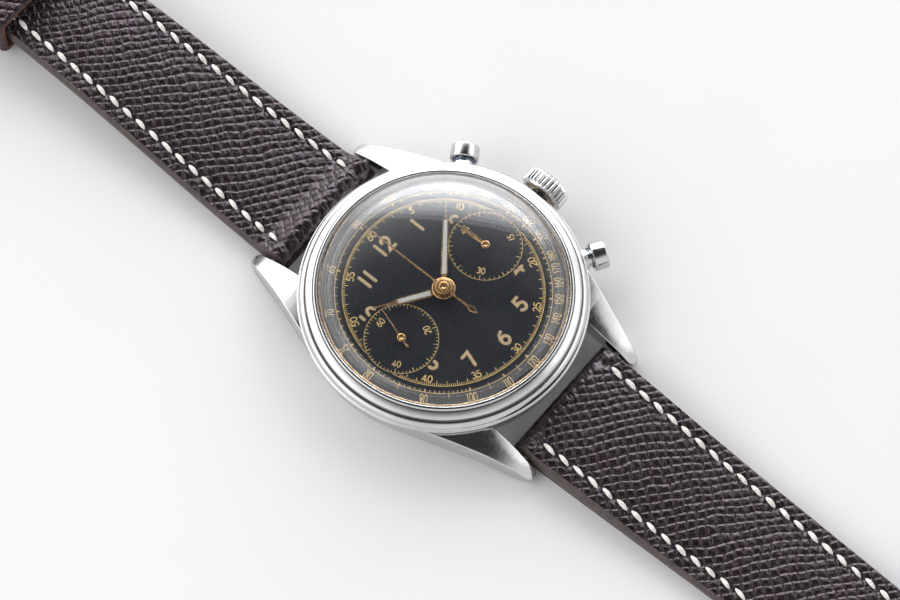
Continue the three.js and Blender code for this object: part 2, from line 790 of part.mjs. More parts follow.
const leverLevel = [1.5, 1.8];
const couplingLever = join(
  slab(strip([0, 0], [5, -1.6], 0.9, 5), ...leverLevel),
  slab(strip([0, 0], [-0.9, 1.7], 0.8, 5), ...leverLevel),
  disc(0.4, 1.5, 2.98, 12),
);
addTo(movement, "coupling_lever", couplingLever, satinSteel, [...couplingLeverAxis, 0]);
const hammer = join(
  slab(strip([0, 0], [-4, 7.4], 0.8, 5), ...leverLevel),
  slab(strip([0, 0], [2.4, 7.6], 0.8, 5), ...leverLevel),
  slab(strip([-4.6, 7.2], [-3.2, 8.2], 0.7, 5), ...leverLevel),
  slab(strip([1.8, 7.9], [3, 7.4], 0.7, 5), ...leverLevel),
  disc(0.4, 1.5, plate.bottom - 0.02, 12),
);
addTo(movement, "hammer", hammer, satinSteel, [...hammerAxis, 0]);

const chronoFeet = [[1.2, -5.7], [12.1, -3.6]];
const chronographBridge = bridgeOn(
  [
    ...[[-1.1, 0.9], [-1.1, -1], [0.4, -6.3], [2, -6.5], [3, -3]],
    ...[[10.5, -4.4], [12.6, -4.3], [12.7, -3], [9.6, 1.1]],
  ],
  chronoFeet,
  [jewelHole(centre, 1, 1.3, 0.22), jewelHole(recorderAxis, 1, 1.3, 0.24)],
  { bottom: 0.95, top: 1.3 },
);
addTo(movement, "chronograph_bridge", chronographBridge, nickel);

// ---- dial and hands ----
const dialGroup = new THREE.Group();
watch.add(dialGroup);

function dialPlate() {
  const recess = (side) =>
    at(disc(subDialRadius, dial.top - 0.1, dial.top + 1, 24), [side * subDialOffset, 0]);
  const eye = (side) => at(disc(0.42, 7, 8, 12), [side * subDialOffset, 0]);
  return cut(
    disc(dial.radius, dial.bottom, dial.top, roundSteps),
    recess(1),
    recess(-1),
    eye(1),
    eye(-1),
    disc(1, 7, 8, 16),
  );
}
addTo(dialGroup, "dial", dialPlate(), dialBlack);

// A hand points to 12 o'clock and is then turned clockwise to its reading.
function addHand(name, shapes, boss, bottom, top, readingDegrees, position = [0, 0]) {
  const blade = shapes.map((points) => slab(points, bottom, top));
  const collar = disc(boss.radius, boss.bottom, boss.top, 24);
  const geometry = cut(join(...blade, collar), disc(boss.bore, boss.bottom - 1, boss.hollowTop, 14));
  const turn = -THREE.MathUtils.degToRad(readingDegrees);
  addTo(dialGroup, name, geometry, gilt, [...position, 0], turn);
}

const hours = 10;
const minutes = 8.6;
const runningSeconds = 3;
const syringe = (width, start, shoulder, tip) => [
  [-0.22, 0],
  [-0.22, start],
  [-width / 2, start + 0.3],
  [-width / 2, shoulder],
  [-0.14, shoulder + 0.5],
  [-0.08, tip],
  [0.08, tip],
  [0.14, shoulder + 0.5],
  [width / 2, shoulder],
  [width / 2, start + 0.3],
  [0.22, start],
  [0.22, 0],
];
addHand(
  "hour_hand",
  [syringe(1.1, 1.2, 6.3, 9.4)],
  { radius: 1.2, bottom: 8.08, top: 8.3, bore: 0.6, hollowTop: 9 },
  8.1, 8.26, (hours + minutes / 60) * 30,
);
addHand(
  "minute_hand",
  [syringe(0.95, 1.5, 9.7, 12.6)],
  { radius: 1.55, bottom: 8.52, top: 8.86, bore: 0.3, hollowTop: 9 },
  8.55, 8.71, minutes * 6,
);
const lozenge = [[0, -5.7], [0.42, -4.75], [0, -3.7], [-0.42, -4.75]];
addHand(
  "chronograph_hand",
  [[[-0.15, -4], [0.15, -4], [0.08, 14.2], [-0.08, 14.2]], lozenge],
  { radius: 1.1, bottom: 9.02, top: 9.5, bore: 0.12, hollowTop: 12 },
  9.04, 9.16, 0,
);
addHand(
  "running_seconds_hand",
  [[[-0.13, -1.4], [0.13, -1.4], [0.08, 4.4], [-0.08, 4.4]], circle(0.24, 10, 0, -1.45)],
  { radius: 0.58, bottom: 7.7, top: 8, bore: 0.12, hollowTop: 12 },
  7.74, 7.85, runningSeconds * 6, fourthAxis,
);
addHand(
  "minute_counter_hand",
  [[[-0.12, 0], [-0.32, 1.9], [-0.08, 4.2], [0.08, 4.2], [0.32, 1.9], [0.12, 0]]],
  { radius: 0.58, bottom: 7.7, top: 8, bore: 0.12, hollowTop: 12 },
  7.74, 7.85, 0, recorderAxis,
);

// ---- strap ----
const strapGroup = new THREE.Group();
watch.add(strapGroup);

// The plan of a strap half that leaves its spring bar towards +Y.
function strapPlan(length, tipRadius) {
  const end = springBar.y + length;
  const wide = strapHalfWidthAtLugs;
  const narrow = strapHalfWidthAtEnds;
  const right = [
    [wide, 15],
    [wide, strapTaperStart],
    [narrow, strapTaperEnd],
    ...arc(tipRadius, 0, 0.3 * Math.PI, 4, narrow - tipRadius, end - tipRadius),
    [tipRadius > 2 ? 2.2 : narrow - tipRadius, end],
  ];
  const left = right.map(([x, y]) => [-x, y]).reverse();
  return [...right, ...left];
}

const barHole = (y, z, radius) =>
  disc(radius, -12, 12, 12).rotateY(Math.PI / 2).translate(0, y, z);

// The leather is padded and round where it wraps the spring bar.
function roundLugEnd() {
  const radius = 2.1;
  const middle = springBar.z + 0.25;
  return arc(radius, Math.PI / 2, 1.5 * Math.PI, 10, springBar.y, middle);
}

function strap12() {
  const end = buckleBar.y;
  const lift = 2.6;
  const endRadius = 2.5;
  const top = [
    ...curve([end - 10, lift + strapThickness], [60, lift + strapThickness], [26, 4.3], 8),
  ];
  const underside = [
    [24, 0.06],
    ...curve([34, 0.75], [46, 2.4], [62, lift], 5),
    [end - 20, lift],
    [end - 18.5, 0.25],
  ];
  const loopEnd = arc(endRadius, -Math.PI / 2, Math.PI / 2, 10, end, buckleBar.z + 0.05);
  const side = [...top, ...roundLugEnd(), ...underside, ...loopEnd];
  const body = common(slab(strapPlan(buckleSideLength + 3, 0.4), -1, 12), sideSlab(side, -10, 10));
  return cut(
    body,
    barHole(springBar.y, springBar.z, springBar.radius + runningGap),
    barHole(buckleBar.y, buckleBar.z, buckleBar.radius + runningGap),
    new THREE.BoxGeometry(3.4, 6, 8).translate(0, end + 0.9, 3),
    new THREE.BoxGeometry(20, 5.4, 1.4).translate(0, fixedKeeperY, 2.25),
  );
}

function strap6() {
  const end = springBar.y + tailSideLength;
  const side = [
    [end + 1, strapThickness + 0.05],
    ...curve([60, strapThickness + 0.05], [40, strapThickness + 0.1], [26, 4.2], 6),
    ...roundLugEnd(),
    [24, 0.05],
    [end + 1, 0.05],
  ];
  const holes = Array.from({ length: 7 }, (_, i) =>
    disc(0.95, -1, 5, 10).translate(0, end - 24 - i * 6.5, 0),
  );
  const body = common(slab(strapPlan(tailSideLength, 5.6), -1, 12), sideSlab(side, -10, 10));
  const barred = cut(body, barHole(springBar.y, springBar.z, springBar.radius + runningGap), ...holes);
  return barred.rotateZ(Math.PI);
}

addTo(strapGroup, "strap_12", strap12(), leather);
addTo(strapGroup, "strap_6", strap6(), leather);

// A telescopic bar with a thin pivot at each end.
function springBarBody() {
  const half = lugGap / 2;
  return turned([
    [0, -half - 0.75],
    [0.38, -half - 0.75],
    [0.38, -half + 0.5],
    [springBar.radius, -half + 0.5],
    [springBar.radius, half - 0.5],
    [0.38, half - 0.5],
    [0.38, half + 0.75],
    [0, half + 0.75],
  ], 14).rotateY(Math.PI / 2);
}
addTo(strapGroup, "spring_bar_12", springBarBody(), satinSteel, [0, springBar.y, springBar.z]);
addTo(strapGroup, "spring_bar_6", springBarBody(), satinSteel, [0, -springBar.y, springBar.z]);

// A leather loop round the strap, made standing in the XZ plane and as wide as the loop is long.
function keeper(innerHalfWidth, innerBottom, innerTop, thickness, length, y) {
  const loop = (half, bottom, top, radius) => [
    ...arc(radius, -Math.PI / 2, 0, 4, half - radius, bottom + radius),
    ...arc(radius, 0, Math.PI / 2, 4, half - radius, top - radius),
    ...arc(radius, Math.PI / 2, Math.PI, 4, radius - half, top - radius),
    ...arc(radius, Math.PI, 1.5 * Math.PI, 4, radius - half, bottom + radius),
  ];
  const outer = loop(innerHalfWidth + thickness, innerBottom - thickness, innerTop + thickness, 1.5);
  const inner = loop(innerHalfWidth, innerBottom, innerTop, 0.5);
  const body = slab(outer, -length / 2, length / 2, [inner]);
  return body.rotateX(Math.PI / 2).translate(0, y, 0);
}
addTo(strapGroup, "fixed_keeper", keeper(7.95, 2.72, 8.2, 1.1, 5, fixedKeeperY), leather);
addTo(strapGroup, "free_keeper", keeper(8.25, 1.25, 7, 1.1, 5.5, freeKeeperY), leather);

// ---- buckle ----
const buckleGroup = new THREE.Group();
buckleGroup.position.set(0, buckleBar.y, buckleBar.z);
buckleGroup.rotation.x = -0.12;
strapGroup.add(buckleGroup);

function buckleFrame() {
  const plan = [
    ...arc(2.2, 0, Math.PI / 2, 6, 8, 9.6),
    ...arc(2.2, Math.PI / 2, Math.PI, 6, -8, 9.6),
    [-10.2, -1.4],
    [-8.3, -1.4],
    ...arc(1, Math.PI, Math.PI / 2, 4, -7.3, 8.4),
    ...arc(1, Math.PI / 2, 0, 4, 7.3, 8.4),
    [8.3, -1.4],
    [10.2, -1.4],
  ];
  const side = [
    ...arc(1.4, Math.PI / 2, 1.5 * Math.PI, 8),
    [8.5, -0.9],
    [11.8, -1.1],
    [11.8, 0.9],
    [8.5, 1.1],
  ];
  const body = common(slab(plan, -2, 2), sideSlab(side, -11, 11));
  const rest = new THREE.BoxGeometry(1.8, 4, 1).translate(0, 10.4, 1.05);
  return cut(body, barHole(0, 0, 0.45), rest);
}
addTo(buckleGroup, "buckle_frame", buckleFrame(), polishedSteel);

function buckleTongue() {
  const eye = ring(buckleBar.radius + 0.08, 1.35, -0.8, 0.8, 16).rotateY(Math.PI / 2);
  const prongOutline = [[1, -0.35], [8.6, 0.75], [12, 0.6], [12, 1.3], [8.4, 1.5], [0.9, 0.75]];
  const prong = sideSlab(prongOutline, -0.7, 0.7);
  return join(eye, cut(prong, disc(buckleBar.radius + 0.2, -2, 2, 12).rotateY(Math.PI / 2)));
}
addTo(buckleGroup, "buckle_tongue", buckleTongue(), polishedSteel);
const buckleBarBody = turned([
  [0, -10],
  [0.38, -10],
  [0.38, -8.1],
  [buckleBar.radius, -8.1],
  [buckleBar.radius, 8.1],
  [0.38, 8.1],
  [0.38, 10],
  [0, 10],
], 14).rotateY(Math.PI / 2);
addTo(buckleGroup, "buckle_bar", buckleBarBody, satinSteel);

export default watch;
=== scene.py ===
"""A hand-wound chronograph wristwatch on a stitched leather strap: its looks, built round the CAD frame.

Points are worked out in millimetres, in the watch's own frame: +Z up through the crystal, +Y to 12 o'clock and
+X to the crown. Every mesh is scaled to metres as it is made.
"""

import json
import math

import bmesh
import bpy
import numpy as np
from mathutils import Matrix, Vector


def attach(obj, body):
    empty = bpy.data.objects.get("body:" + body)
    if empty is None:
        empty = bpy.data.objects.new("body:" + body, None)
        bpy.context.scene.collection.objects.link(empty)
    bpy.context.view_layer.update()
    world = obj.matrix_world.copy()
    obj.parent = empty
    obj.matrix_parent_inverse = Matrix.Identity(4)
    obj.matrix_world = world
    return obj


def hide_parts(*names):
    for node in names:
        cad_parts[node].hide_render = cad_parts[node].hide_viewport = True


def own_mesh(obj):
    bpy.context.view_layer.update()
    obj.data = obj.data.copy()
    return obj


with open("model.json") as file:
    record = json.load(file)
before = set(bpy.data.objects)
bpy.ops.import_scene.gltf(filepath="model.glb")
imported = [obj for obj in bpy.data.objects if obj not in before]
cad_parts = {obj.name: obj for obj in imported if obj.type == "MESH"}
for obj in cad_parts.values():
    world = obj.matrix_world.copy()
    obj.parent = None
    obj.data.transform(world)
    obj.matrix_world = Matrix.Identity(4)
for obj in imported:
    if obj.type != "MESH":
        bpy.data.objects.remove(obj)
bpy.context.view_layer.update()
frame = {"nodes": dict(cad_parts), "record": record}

MM = 0.001
TAU = 2 * math.pi
scene = bpy.context.scene

# ---- dimensions, in millimetres ----
STEM_HEIGHT = 4.5
PUSHER_ANGLE = math.radians(32.3)
DIAL_TOP = 7.5
PRINT_THICKNESS = 0.012
SUB_DIAL_TOP = 7.4
SUB_DIAL_OFFSET = 8.46
SUB_DIAL_RADIUS = 4.95
SPRING_BAR_Y = 21.3
STRAP_THICKNESS = 2.65
STITCH_INSET = 2.2
STATION_PITCH = 0.14
LUG_END_RADIUS = 2.1
STRAP_TAPER = ((22.0, 9.1), (70.0, 7.8))  # (distance from the dial's middle, half the strap's width)
BUCKLE_BAR = (96.3, 2.7)
TAIL_END = SPRING_BAR_Y + 115
READINGS = {"hour": 304.3, "minute": 51.6, "seconds": 18.0, "chronograph": 0.0, "counter": 0.0}


# ---- camera and lamps, in metres and watts ----
CAMERA_BACK = Vector((-0.29594, -0.24351, 0.92364))  # from the watch towards the camera
CAMERA_RIGHT = Vector((0.6354, -0.7722, 0.0))
CAMERA_ROLL = 0.008923
CAMERA_AIM = Vector((-0.3206, -1.3415, 7.52)) * MM
CAMERA_DISTANCE = 0.56472
KEY_WATTS = 0.45
FILL_WATTS = 1.25
SHEEN_WATTS = 2.6
SHEEN_STEPS = 6


# ---- shells: (points, faces) ----
def joined(*shells):
    points, faces = [], []
    for shell_points, shell_faces in shells:
        start = len(points)
        points.extend(tuple(p) for p in shell_points)
        faces.extend(tuple(i + start for i in face) for face in shell_faces)
    return points, faces


def transformed(shell, matrix):
    points, faces = shell
    return [tuple(matrix @ Vector(p)) for p in points], faces


def moved(shell, x=0.0, y=0.0, z=0.0):
    return transformed(shell, Matrix.Translation((x, y, z)))


def turned_by(shell, degrees):
    """Turned clockwise, as a hand turns."""
    return transformed(shell, Matrix.Rotation(-math.radians(degrees), 4, "Z"))


def radial(shell, angle=0.0):
    """A shell made about Z, laid so that its axis points out of the case at an angle from 3 o'clock."""
    out = Matrix.Rotation(math.pi / 2, 4, "Y")
    turn = Matrix.Rotation(angle, 4, "Z")
    return transformed(shell, Matrix.Translation((0, 0, STEM_HEIGHT)) @ turn @ out)


def arc(radius, start, end, steps, x=0.0, y=0.0):
    angles = np.linspace(start, end, steps + 1)
    return [(x + radius * math.cos(a), y + radius * math.sin(a)) for a in angles]


def bezier(start, control, end, steps):
    points = []
    for t in np.linspace(0, 1, steps + 1):
        points.append(
            tuple((1 - t) ** 2 * a + 2 * t * (1 - t) * b + t * t * c for a, b, c in zip(start, control, end))
        )
    return points


def rounded(outline, radius, steps=3):
    """A closed outline with each corner eased over about the given radius."""
    points = []
    count = len(outline)
    for i in range(count):
        here = Vector(outline[i])
        before = Vector(outline[i - 1]) - here
        after = Vector(outline[(i + 1) % count]) - here
        ease = min(radius, 0.45 * before.length, 0.45 * after.length)
        start = here + before.normalized() * ease
        end = here + after.normalized() * ease
        points.extend(bezier(tuple(start), tuple(here), tuple(end), steps))
    return points


def lathe(profile, steps=192, radius_at=None):
    """A profile of (radius, height) turned about Z. It closes on itself unless it ends on the axis."""
    points, rings, faces = [], [], []
    for k, (radius, height) in enumerate(profile):
        start = len(points)
        if radius < 1e-6:
            points.append((0.0, 0.0, height))
            rings.append([start] * steps)
            continue
        for i in range(steps):
            angle = TAU * i / steps
            r = radius_at(k, radius, angle) if radius_at else radius
            points.append((r * math.cos(angle), r * math.sin(angle), height))
        rings.append(list(range(start, start + steps)))
    pairs = list(zip(rings, rings[1:]))
    if profile[0][0] > 1e-6:
        pairs.append((rings[-1], rings[0]))
    for low, high in pairs:
        for i in range(steps):
            j = (i + 1) % steps
            face = dict.fromkeys((low[i], low[j], high[j], high[i]))
            if len(face) > 2:
                faces.append(tuple(face))
    return points, faces


def cylinder(radius, low, high, steps):
    return lathe([(0, low), (radius, low), (radius, high), (0, high)], steps)


def sleeve(inner, outer, low, high, steps, ease=0.0, ease_steps=2):
    """A ring of rectangular section, with its edges eased if ease is given."""
    section = [(inner, low), (outer, low), (outer, high), (inner, high)]
    return lathe(rounded(section, ease, ease_steps) if ease else section, steps)


def tube_faces(rings, around):
    """The faces of a capped tube whose points lie ring after ring."""
    faces = []
    for i in range(rings - 1):
        for k in range(around):
            m = (k + 1) % around
            faces.append((i * around + k, i * around + m, (i + 1) * around + m, (i + 1) * around + k))
    faces.append(tuple(reversed(range(around))))
    faces.append(tuple(range((rings - 1) * around, rings * around)))
    return faces


def prism(outline, bottom, top, ease=0.0):
    """An outline raised into a plate, with its upper edge chamfered by ease."""
    count = len(outline)
    levels = [(bottom, 0.0), (top - ease, 0.0), (top, ease)] if ease else [(bottom, 0.0), (top, 0.0)]
    points = []
    for height, inset in levels:
        ring = inset_outline(outline, inset) if inset else outline
        points.extend((x, y, height) for x, y in ring)
    faces = [tuple(reversed(range(count)))]
    for level in range(len(levels) - 1):
        for i in range(count):
            j = (i + 1) % count
            a, b = level * count, (level + 1) * count
            faces.append((a + i, a + j, b + j, b + i))
    last = (len(levels) - 1) * count
    faces.append(tuple(range(last, last + count)))
    return points, faces


def inset_outline(outline, distance):
    """A counter-clockwise outline moved inwards by a small distance."""
    points = []
    count = len(outline)
    for i in range(count):
        here = Vector(outline[i])
        before = (here - Vector(outline[i - 1])).normalized()
        after = (Vector(outline[(i + 1) % count]) - here).normalized()
        inward = Vector((-before.y - after.y, before.x + after.x))
        bend = max(0.35, inward.length / 2)
        points.append(tuple(here + inward.normalized() * distance / bend))
    return points


def side_prism(outline, low, high):
    """A plate that runs along X, from its side view of (Y, Z) points."""
    points, faces = prism(outline, low, high)
    return [(z, x, y) for x, y, z in points], faces


def ribbon(path, width, bottom, top, caps=0, climb=0.0):
    """A flat strip of constant width along a path, as print or paint lies on a dial.

    It may climb a little from start to end, so that it lies over itself where the path crosses.
    """
    centre = [Vector(p) for p in path]
    left, right = [], []
    for i, here in enumerate(centre):
        before = here - centre[max(i - 1, 0)]
        after = centre[min(i + 1, len(centre) - 1)] - here
        heading = (before.normalized() + after.normalized()).normalized()
        side = Vector((-heading.y, heading.x))
        along = after if after.length else before
        bend = max(0.5, abs(side.dot(Vector((-along.y, along.x)).normalized())))
        left.append(here + side * width / 2 / bend)
        right.append(here - side * width / 2 / bend)
    count = len(path)
    flat = [tuple(p) for p in left] + [tuple(p) for p in right]
    loops = [(i, i + count, i + count + 1, i + 1) for i in range(count - 1)]
    ends = ((centre[-1], centre[-2], count - 1, 2 * count - 1), (centre[0], centre[1], count, 0))
    walls = [(i + 1, i) for i in range(count - 1)] + [(i, i + 1) for i in range(count, 2 * count - 1)]
    for tip, inner, on_left, on_right in ends:
        if not caps:
            walls.append((on_right, on_left))
            continue
        heading = math.atan2(tip.y - inner.y, tip.x - inner.x)
        start = len(flat)
        flat += arc(width / 2, heading - math.pi / 2, heading + math.pi / 2, caps, tip.x, tip.y)[1:-1]
        rim = [on_right, *range(start, len(flat)), on_left]
        loops.append(tuple(rim))
        walls += list(zip(rim, rim[1:]))
    total = len(flat)
    rise = [climb * i / (count - 1) for i in range(count)] * 2
    rise += [climb] * ((total - 2 * count) // 2) + [0.0] * ((total - 2 * count) // 2)
    points = [(x, y, bottom) for x, y in flat] + [(x, y, top + up) for (x, y), up in zip(flat, rise)]
    faces = [tuple(i + total for i in loop) for loop in loops]
    faces += [tuple(reversed(loop)) for loop in loops]
    faces += [(i, j, j + total, i + total) for i, j in walls]
    return points, faces


# ---- objects ----
def link(name, mesh):
    piece = bpy.data.objects.new(name, mesh)
    scene.collection.objects.link(piece)
    return piece


def finished(name, shell, material, body, replaces=(), sharp=32, materials=(), face_materials=None):
    """A smooth-shaded piece in metres that rides on a body. Edges steeper than sharp degrees stay crisp."""
    points, faces = shell
    mesh = bpy.data.meshes.new(name)
    mesh.from_pydata((np.asarray(points, float) * MM).tolist(), [], faces)
    if face_materials is None:
        outward(mesh)
    for each in (material, *materials):
        mesh.materials.append(each)
    if face_materials is not None:
        mesh.polygons.foreach_set("material_index", face_materials)
    mesh.shade_smooth()
    mesh.set_sharp_from_angle(angle=math.radians(sharp))
    return attached(link(name, mesh), body, replaces)


def attached(piece, body, replaces=()):
    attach(piece, body)
    if replaces:
        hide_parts(*replaces)
    return piece


def outward(mesh):
    work = bmesh.new()
    work.from_mesh(mesh)
    bmesh.ops.recalc_face_normals(work, faces=work.faces)
    work.to_mesh(mesh)
    work.free()


def scratch(shell):
    """A shell as a hidden object in millimetres, to join and cut with."""
    points, faces = shell
    mesh = bpy.data.meshes.new("scratch")
    mesh.from_pydata(points, [], faces)
    outward(mesh)
    return link("scratch", mesh)


def evaluated(piece):
    """The shell of an object with its modifiers applied. The object goes."""
    graph = bpy.context.evaluated_depsgraph_get()
    mesh = bpy.data.meshes.new_from_object(piece.evaluated_get(graph))
    shell = [tuple(v.co) for v in mesh.vertices], [tuple(p.vertices) for p in mesh.polygons]
    bpy.data.objects.remove(piece)
    bpy.data.meshes.remove(mesh)
    return shell


def combined(shell, operation, *others):
    """A shell joined with, cut by or kept inside the others."""
    piece = scratch(shell)
    tools = [scratch(other) for other in others]
    for tool in tools:
        step = piece.modifiers.new("step", "BOOLEAN")
        step.operation = operation
        step.object = tool
        step.solver = "EXACT"
    result = evaluated(piece)
    for tool in tools:
        bpy.data.objects.remove(tool)
    return result


def bevelled(shell, width, segments=2, angle=40):
    piece = scratch(shell)
    step = piece.modifiers.new("bevel", "BEVEL")
    step.width = width
    step.segments = segments
    step.limit_method = "ANGLE"
    step.angle_limit = math.radians(angle)
    step.miter_outer = "MITER_ARC"
    return evaluated(piece)


# ---- materials ----
class Surface:
    """A Principled material whose texture coordinates are in millimetres."""

    def __init__(self, name, color, metallic=0.0, roughness=0.5, **inputs):
        self.material = bpy.data.materials.new(name)
        self.material.use_nodes = True
        self.tree = self.material.node_tree
        self.shader = self.tree.nodes["Principled BSDF"]
        self.set("Base Color", (*color, 1.0))
        self.set("Metallic", metallic)
        self.set("Roughness", roughness)
        for key, value in inputs.items():
            self.set(key.replace("_", " ").title().replace("Ior", "IOR"), value)
        coordinates = self.tree.nodes.new("ShaderNodeTexCoord")
        self.scale = self.tree.nodes.new("ShaderNodeVectorMath")
        self.scale.operation = "SCALE"
        self.scale.inputs["Scale"].default_value = 1 / MM
        self.tree.links.new(coordinates.outputs["Object"], self.scale.inputs[0])
        self.relief = None

    def set(self, key, value):
        self.shader.inputs[key].default_value = value

    def link(self, output, target):
        self.tree.links.new(output, target)

    def noise(self, scale, detail=3.0, stretch=(1, 1, 1), distortion=0.0, roughness=0.55):
        node = self.tree.nodes.new("ShaderNodeTexNoise")
        node.inputs["Scale"].default_value = scale
        node.inputs["Detail"].default_value = detail
        node.inputs["Roughness"].default_value = roughness
        node.inputs["Distortion"].default_value = distortion
        self.link(self.stretched(stretch), node.inputs["Vector"])
        return node.outputs["Fac"]

    def cells(self, scale, feature="F1"):
        node = self.tree.nodes.new("ShaderNodeTexVoronoi")
        node.feature = feature
        node.inputs["Scale"].default_value = scale
        self.link(self.scale.outputs["Vector"], node.inputs["Vector"])
        return node.outputs["Distance"]

    def stretched(self, stretch):
        if stretch == (1, 1, 1):
            return self.scale.outputs["Vector"]
        node = self.tree.nodes.new("ShaderNodeVectorMath")
        node.operation = "MULTIPLY"
        node.inputs[1].default_value = stretch
        self.link(self.scale.outputs["Vector"], node.inputs[0])
        return node.outputs["Vector"]

    def ramp(self, value, low, high, from_low=0.35, from_high=0.65):
        """The value's part between from_low and from_high, spread from low to high."""
        node = self.tree.nodes.new("ShaderNodeMapRange")
        node.inputs["From Min"].default_value = from_low
        node.inputs["From Max"].default_value = from_high
        node.inputs["To Min"].default_value = low
        node.inputs["To Max"].default_value = high
        self.link(value, node.inputs["Value"])
        return node.outputs["Result"]

    def colour(self, value, low, high, from_low=0.35, from_high=0.65):
        """A blend by the value from one colour, or colour output, to another."""
        node = self.tree.nodes.new("ShaderNodeMix")
        node.data_type = "RGBA"
        self.link(self.ramp(value, 0, 1, from_low, from_high), node.inputs["Factor"])
        low_socket, high_socket = [s for s in node.inputs if s.type == "RGBA"]
        for socket, colour in ((low_socket, low), (high_socket, high)):
            if isinstance(colour, bpy.types.NodeSocket):
                self.link(colour, socket)
            else:
                socket.default_value = (*colour, 1.0)
        return next(s for s in node.outputs if s.type == "RGBA")

    def paint(self, colour_output):
        self.link(colour_output, self.shader.inputs["Base Color"])

    def rough(self, value_output):
        self.link(value_output, self.shader.inputs["Roughness"])

    def bump(self, value_output, height):
        """Adds relief of about the given height in millimetres."""
        node = self.tree.nodes.new("ShaderNodeBump")
        node.inputs["Distance"].default_value = height * MM
        node.inputs["Strength"].default_value = 1.0
        self.link(value_output, node.inputs["Height"])
        if self.relief:
            self.link(self.relief.outputs["Normal"], node.inputs["Normal"])
        self.relief = node
        self.link(node.outputs["Normal"], self.shader.inputs["Normal"])


def polished_steel():
    """Polished steel with hairline scratches and small dents from wear."""
    bright, dull = (0.62, 0.62, 0.62 * 1.01), (0.62 * 0.93,) * 3
    s = Surface("polished_steel", bright, 1.0, 0.1)
    s.paint(s.colour(s.noise(0.35), dull, bright))
    s.rough(s.ramp(s.noise(2.2, 5), 0.07, 0.19))
    s.bump(s.noise(0.8, 2), 0.006)
    s.bump(s.noise(9, 4, stretch=(0.15, 1.0, 0.4), distortion=0.6), 0.0012)
    s.bump(s.ramp(s.cells(1.7), 0.0, 1.0, 0.0, 0.09), 0.004)
    return s.material


def satin_steel():
    s = Surface("satin_steel", (0.62, 0.62, 0.63), 1.0, 0.3)
    s.rough(s.ramp(s.noise(3, 4), 0.24, 0.4))
    s.bump(s.noise(14, 3, stretch=(1.0, 0.06, 0.06)), 0.004)
    return s.material


def plated(name, colour, low, high):
    """Plated or bare movement metal with a light grain, and a roughness from low to high."""
    s = Surface(name, colour, 1.0, 0.3)
    dark = tuple(c * 0.8 for c in colour)
    s.paint(s.colour(s.noise(0.6, 4), dark, colour))
    s.rough(s.ramp(s.noise(2.5, 4), low, high))
    s.bump(s.noise(11, 3, stretch=(1.0, 0.08, 0.3)), 0.003)
    return s.material


def aged_gilt(name, light, dark):
    """Gilding that has tarnished in patches."""
    s = Surface(name, light, 1.0, 0.25)
    s.paint(s.colour(s.noise(1.5, 4), light, dark, 0.35, 0.7))
    s.rough(s.ramp(s.noise(3.5, 4), 0.18, 0.28))
    s.bump(s.noise(9, 3), 0.0012)
    return s.material


def dial_lacquer():
    """Blue-black lacquer that has greyed in clouds, with fine dust standing on it."""
    s = Surface("dial_lacquer", (0.010, 0.012, 0.017), 0.0, 0.42, specular_ior_level=0.25)
    cloud = s.colour(s.noise(0.22, 5, roughness=0.6), (0.0055, 0.0075, 0.0125), (0.013, 0.015, 0.021))
    fade = s.colour(s.noise(1.6, 6), cloud, (0.022, 0.023, 0.028), 0.5, 0.85)
    dust = s.colour(s.cells(1.9), (0.42, 0.40, 0.36), fade, 0.028, 0.05)
    s.paint(s.colour(s.cells(4.3), (0.12, 0.12, 0.12), dust, 0.03, 0.075))
    s.rough(s.ramp(s.noise(0.7, 4), 0.29, 0.34))
    s.bump(s.noise(7, 5), 0.0025)
    s.bump(s.cells(1.9), 0.004)
    return s.material


def gilt_print():
    s = Surface("gilt_print", (0.66, 0.46, 0.16), 0.2, 0.45)
    s.paint(s.colour(s.noise(1.8, 5), (0.76, 0.53, 0.19), (0.42, 0.30, 0.13), 0.42, 0.72))
    s.bump(s.noise(10, 3), 0.004)
    return s.material


def red_print():
    s = Surface("red_print", (0.55, 0.09, 0.07), 0.0, 0.5)
    s.paint(s.colour(s.noise(3, 4), (0.60, 0.10, 0.08), (0.30, 0.07, 0.06)))
    return s.material


def aged_lume(name, light, dark, wear):
    """Luminous paint gone crumbly. The dark grains take over as wear gets smaller."""
    s = Surface(name, light, 0.0, 0.8)
    s.paint(s.colour(s.noise(5.5, 6, roughness=0.7), light, dark, wear - 0.1, wear + 0.16))
    s.bump(s.noise(6.5, 6, roughness=0.7), 0.05)
    return s.material


def acrylic():
    """Clear acrylic. It lets lamps and the dial's own light straight through, and mirrors the room."""
    s = Surface("acrylic", (1, 1, 1), 0.0, 0.015, transmission_weight=1.0, coat_weight=1.0)
    s.set("IOR", 1.08)
    s.set("Coat IOR", 1.75)
    s.set("Coat Roughness", 0.02)
    s.rough(s.ramp(s.noise(1.4, 4), 0.006, 0.03))
    s.bump(s.noise(6, 4, stretch=(0.3, 1, 1), distortion=0.8), 0.00015)
    nodes = s.tree.nodes
    clear = nodes.new("ShaderNodeBsdfTransparent")
    clear.inputs["Color"].default_value = (0.97, 0.98, 0.99, 1)
    rays = nodes.new("ShaderNodeLightPath")
    either = nodes.new("ShaderNodeMath")
    either.operation = "MAXIMUM"
    mix = nodes.new("ShaderNodeMixShader")
    s.link(rays.outputs["Is Shadow Ray"], either.inputs[0])
    s.link(rays.outputs["Is Diffuse Ray"], either.inputs[1])
    s.link(either.outputs[0], mix.inputs["Fac"])
    s.link(s.shader.outputs[0], mix.inputs[1])
    s.link(clear.outputs[0], mix.inputs[2])
    s.link(mix.outputs[0], nodes["Material Output"].inputs["Surface"])
    return s.material


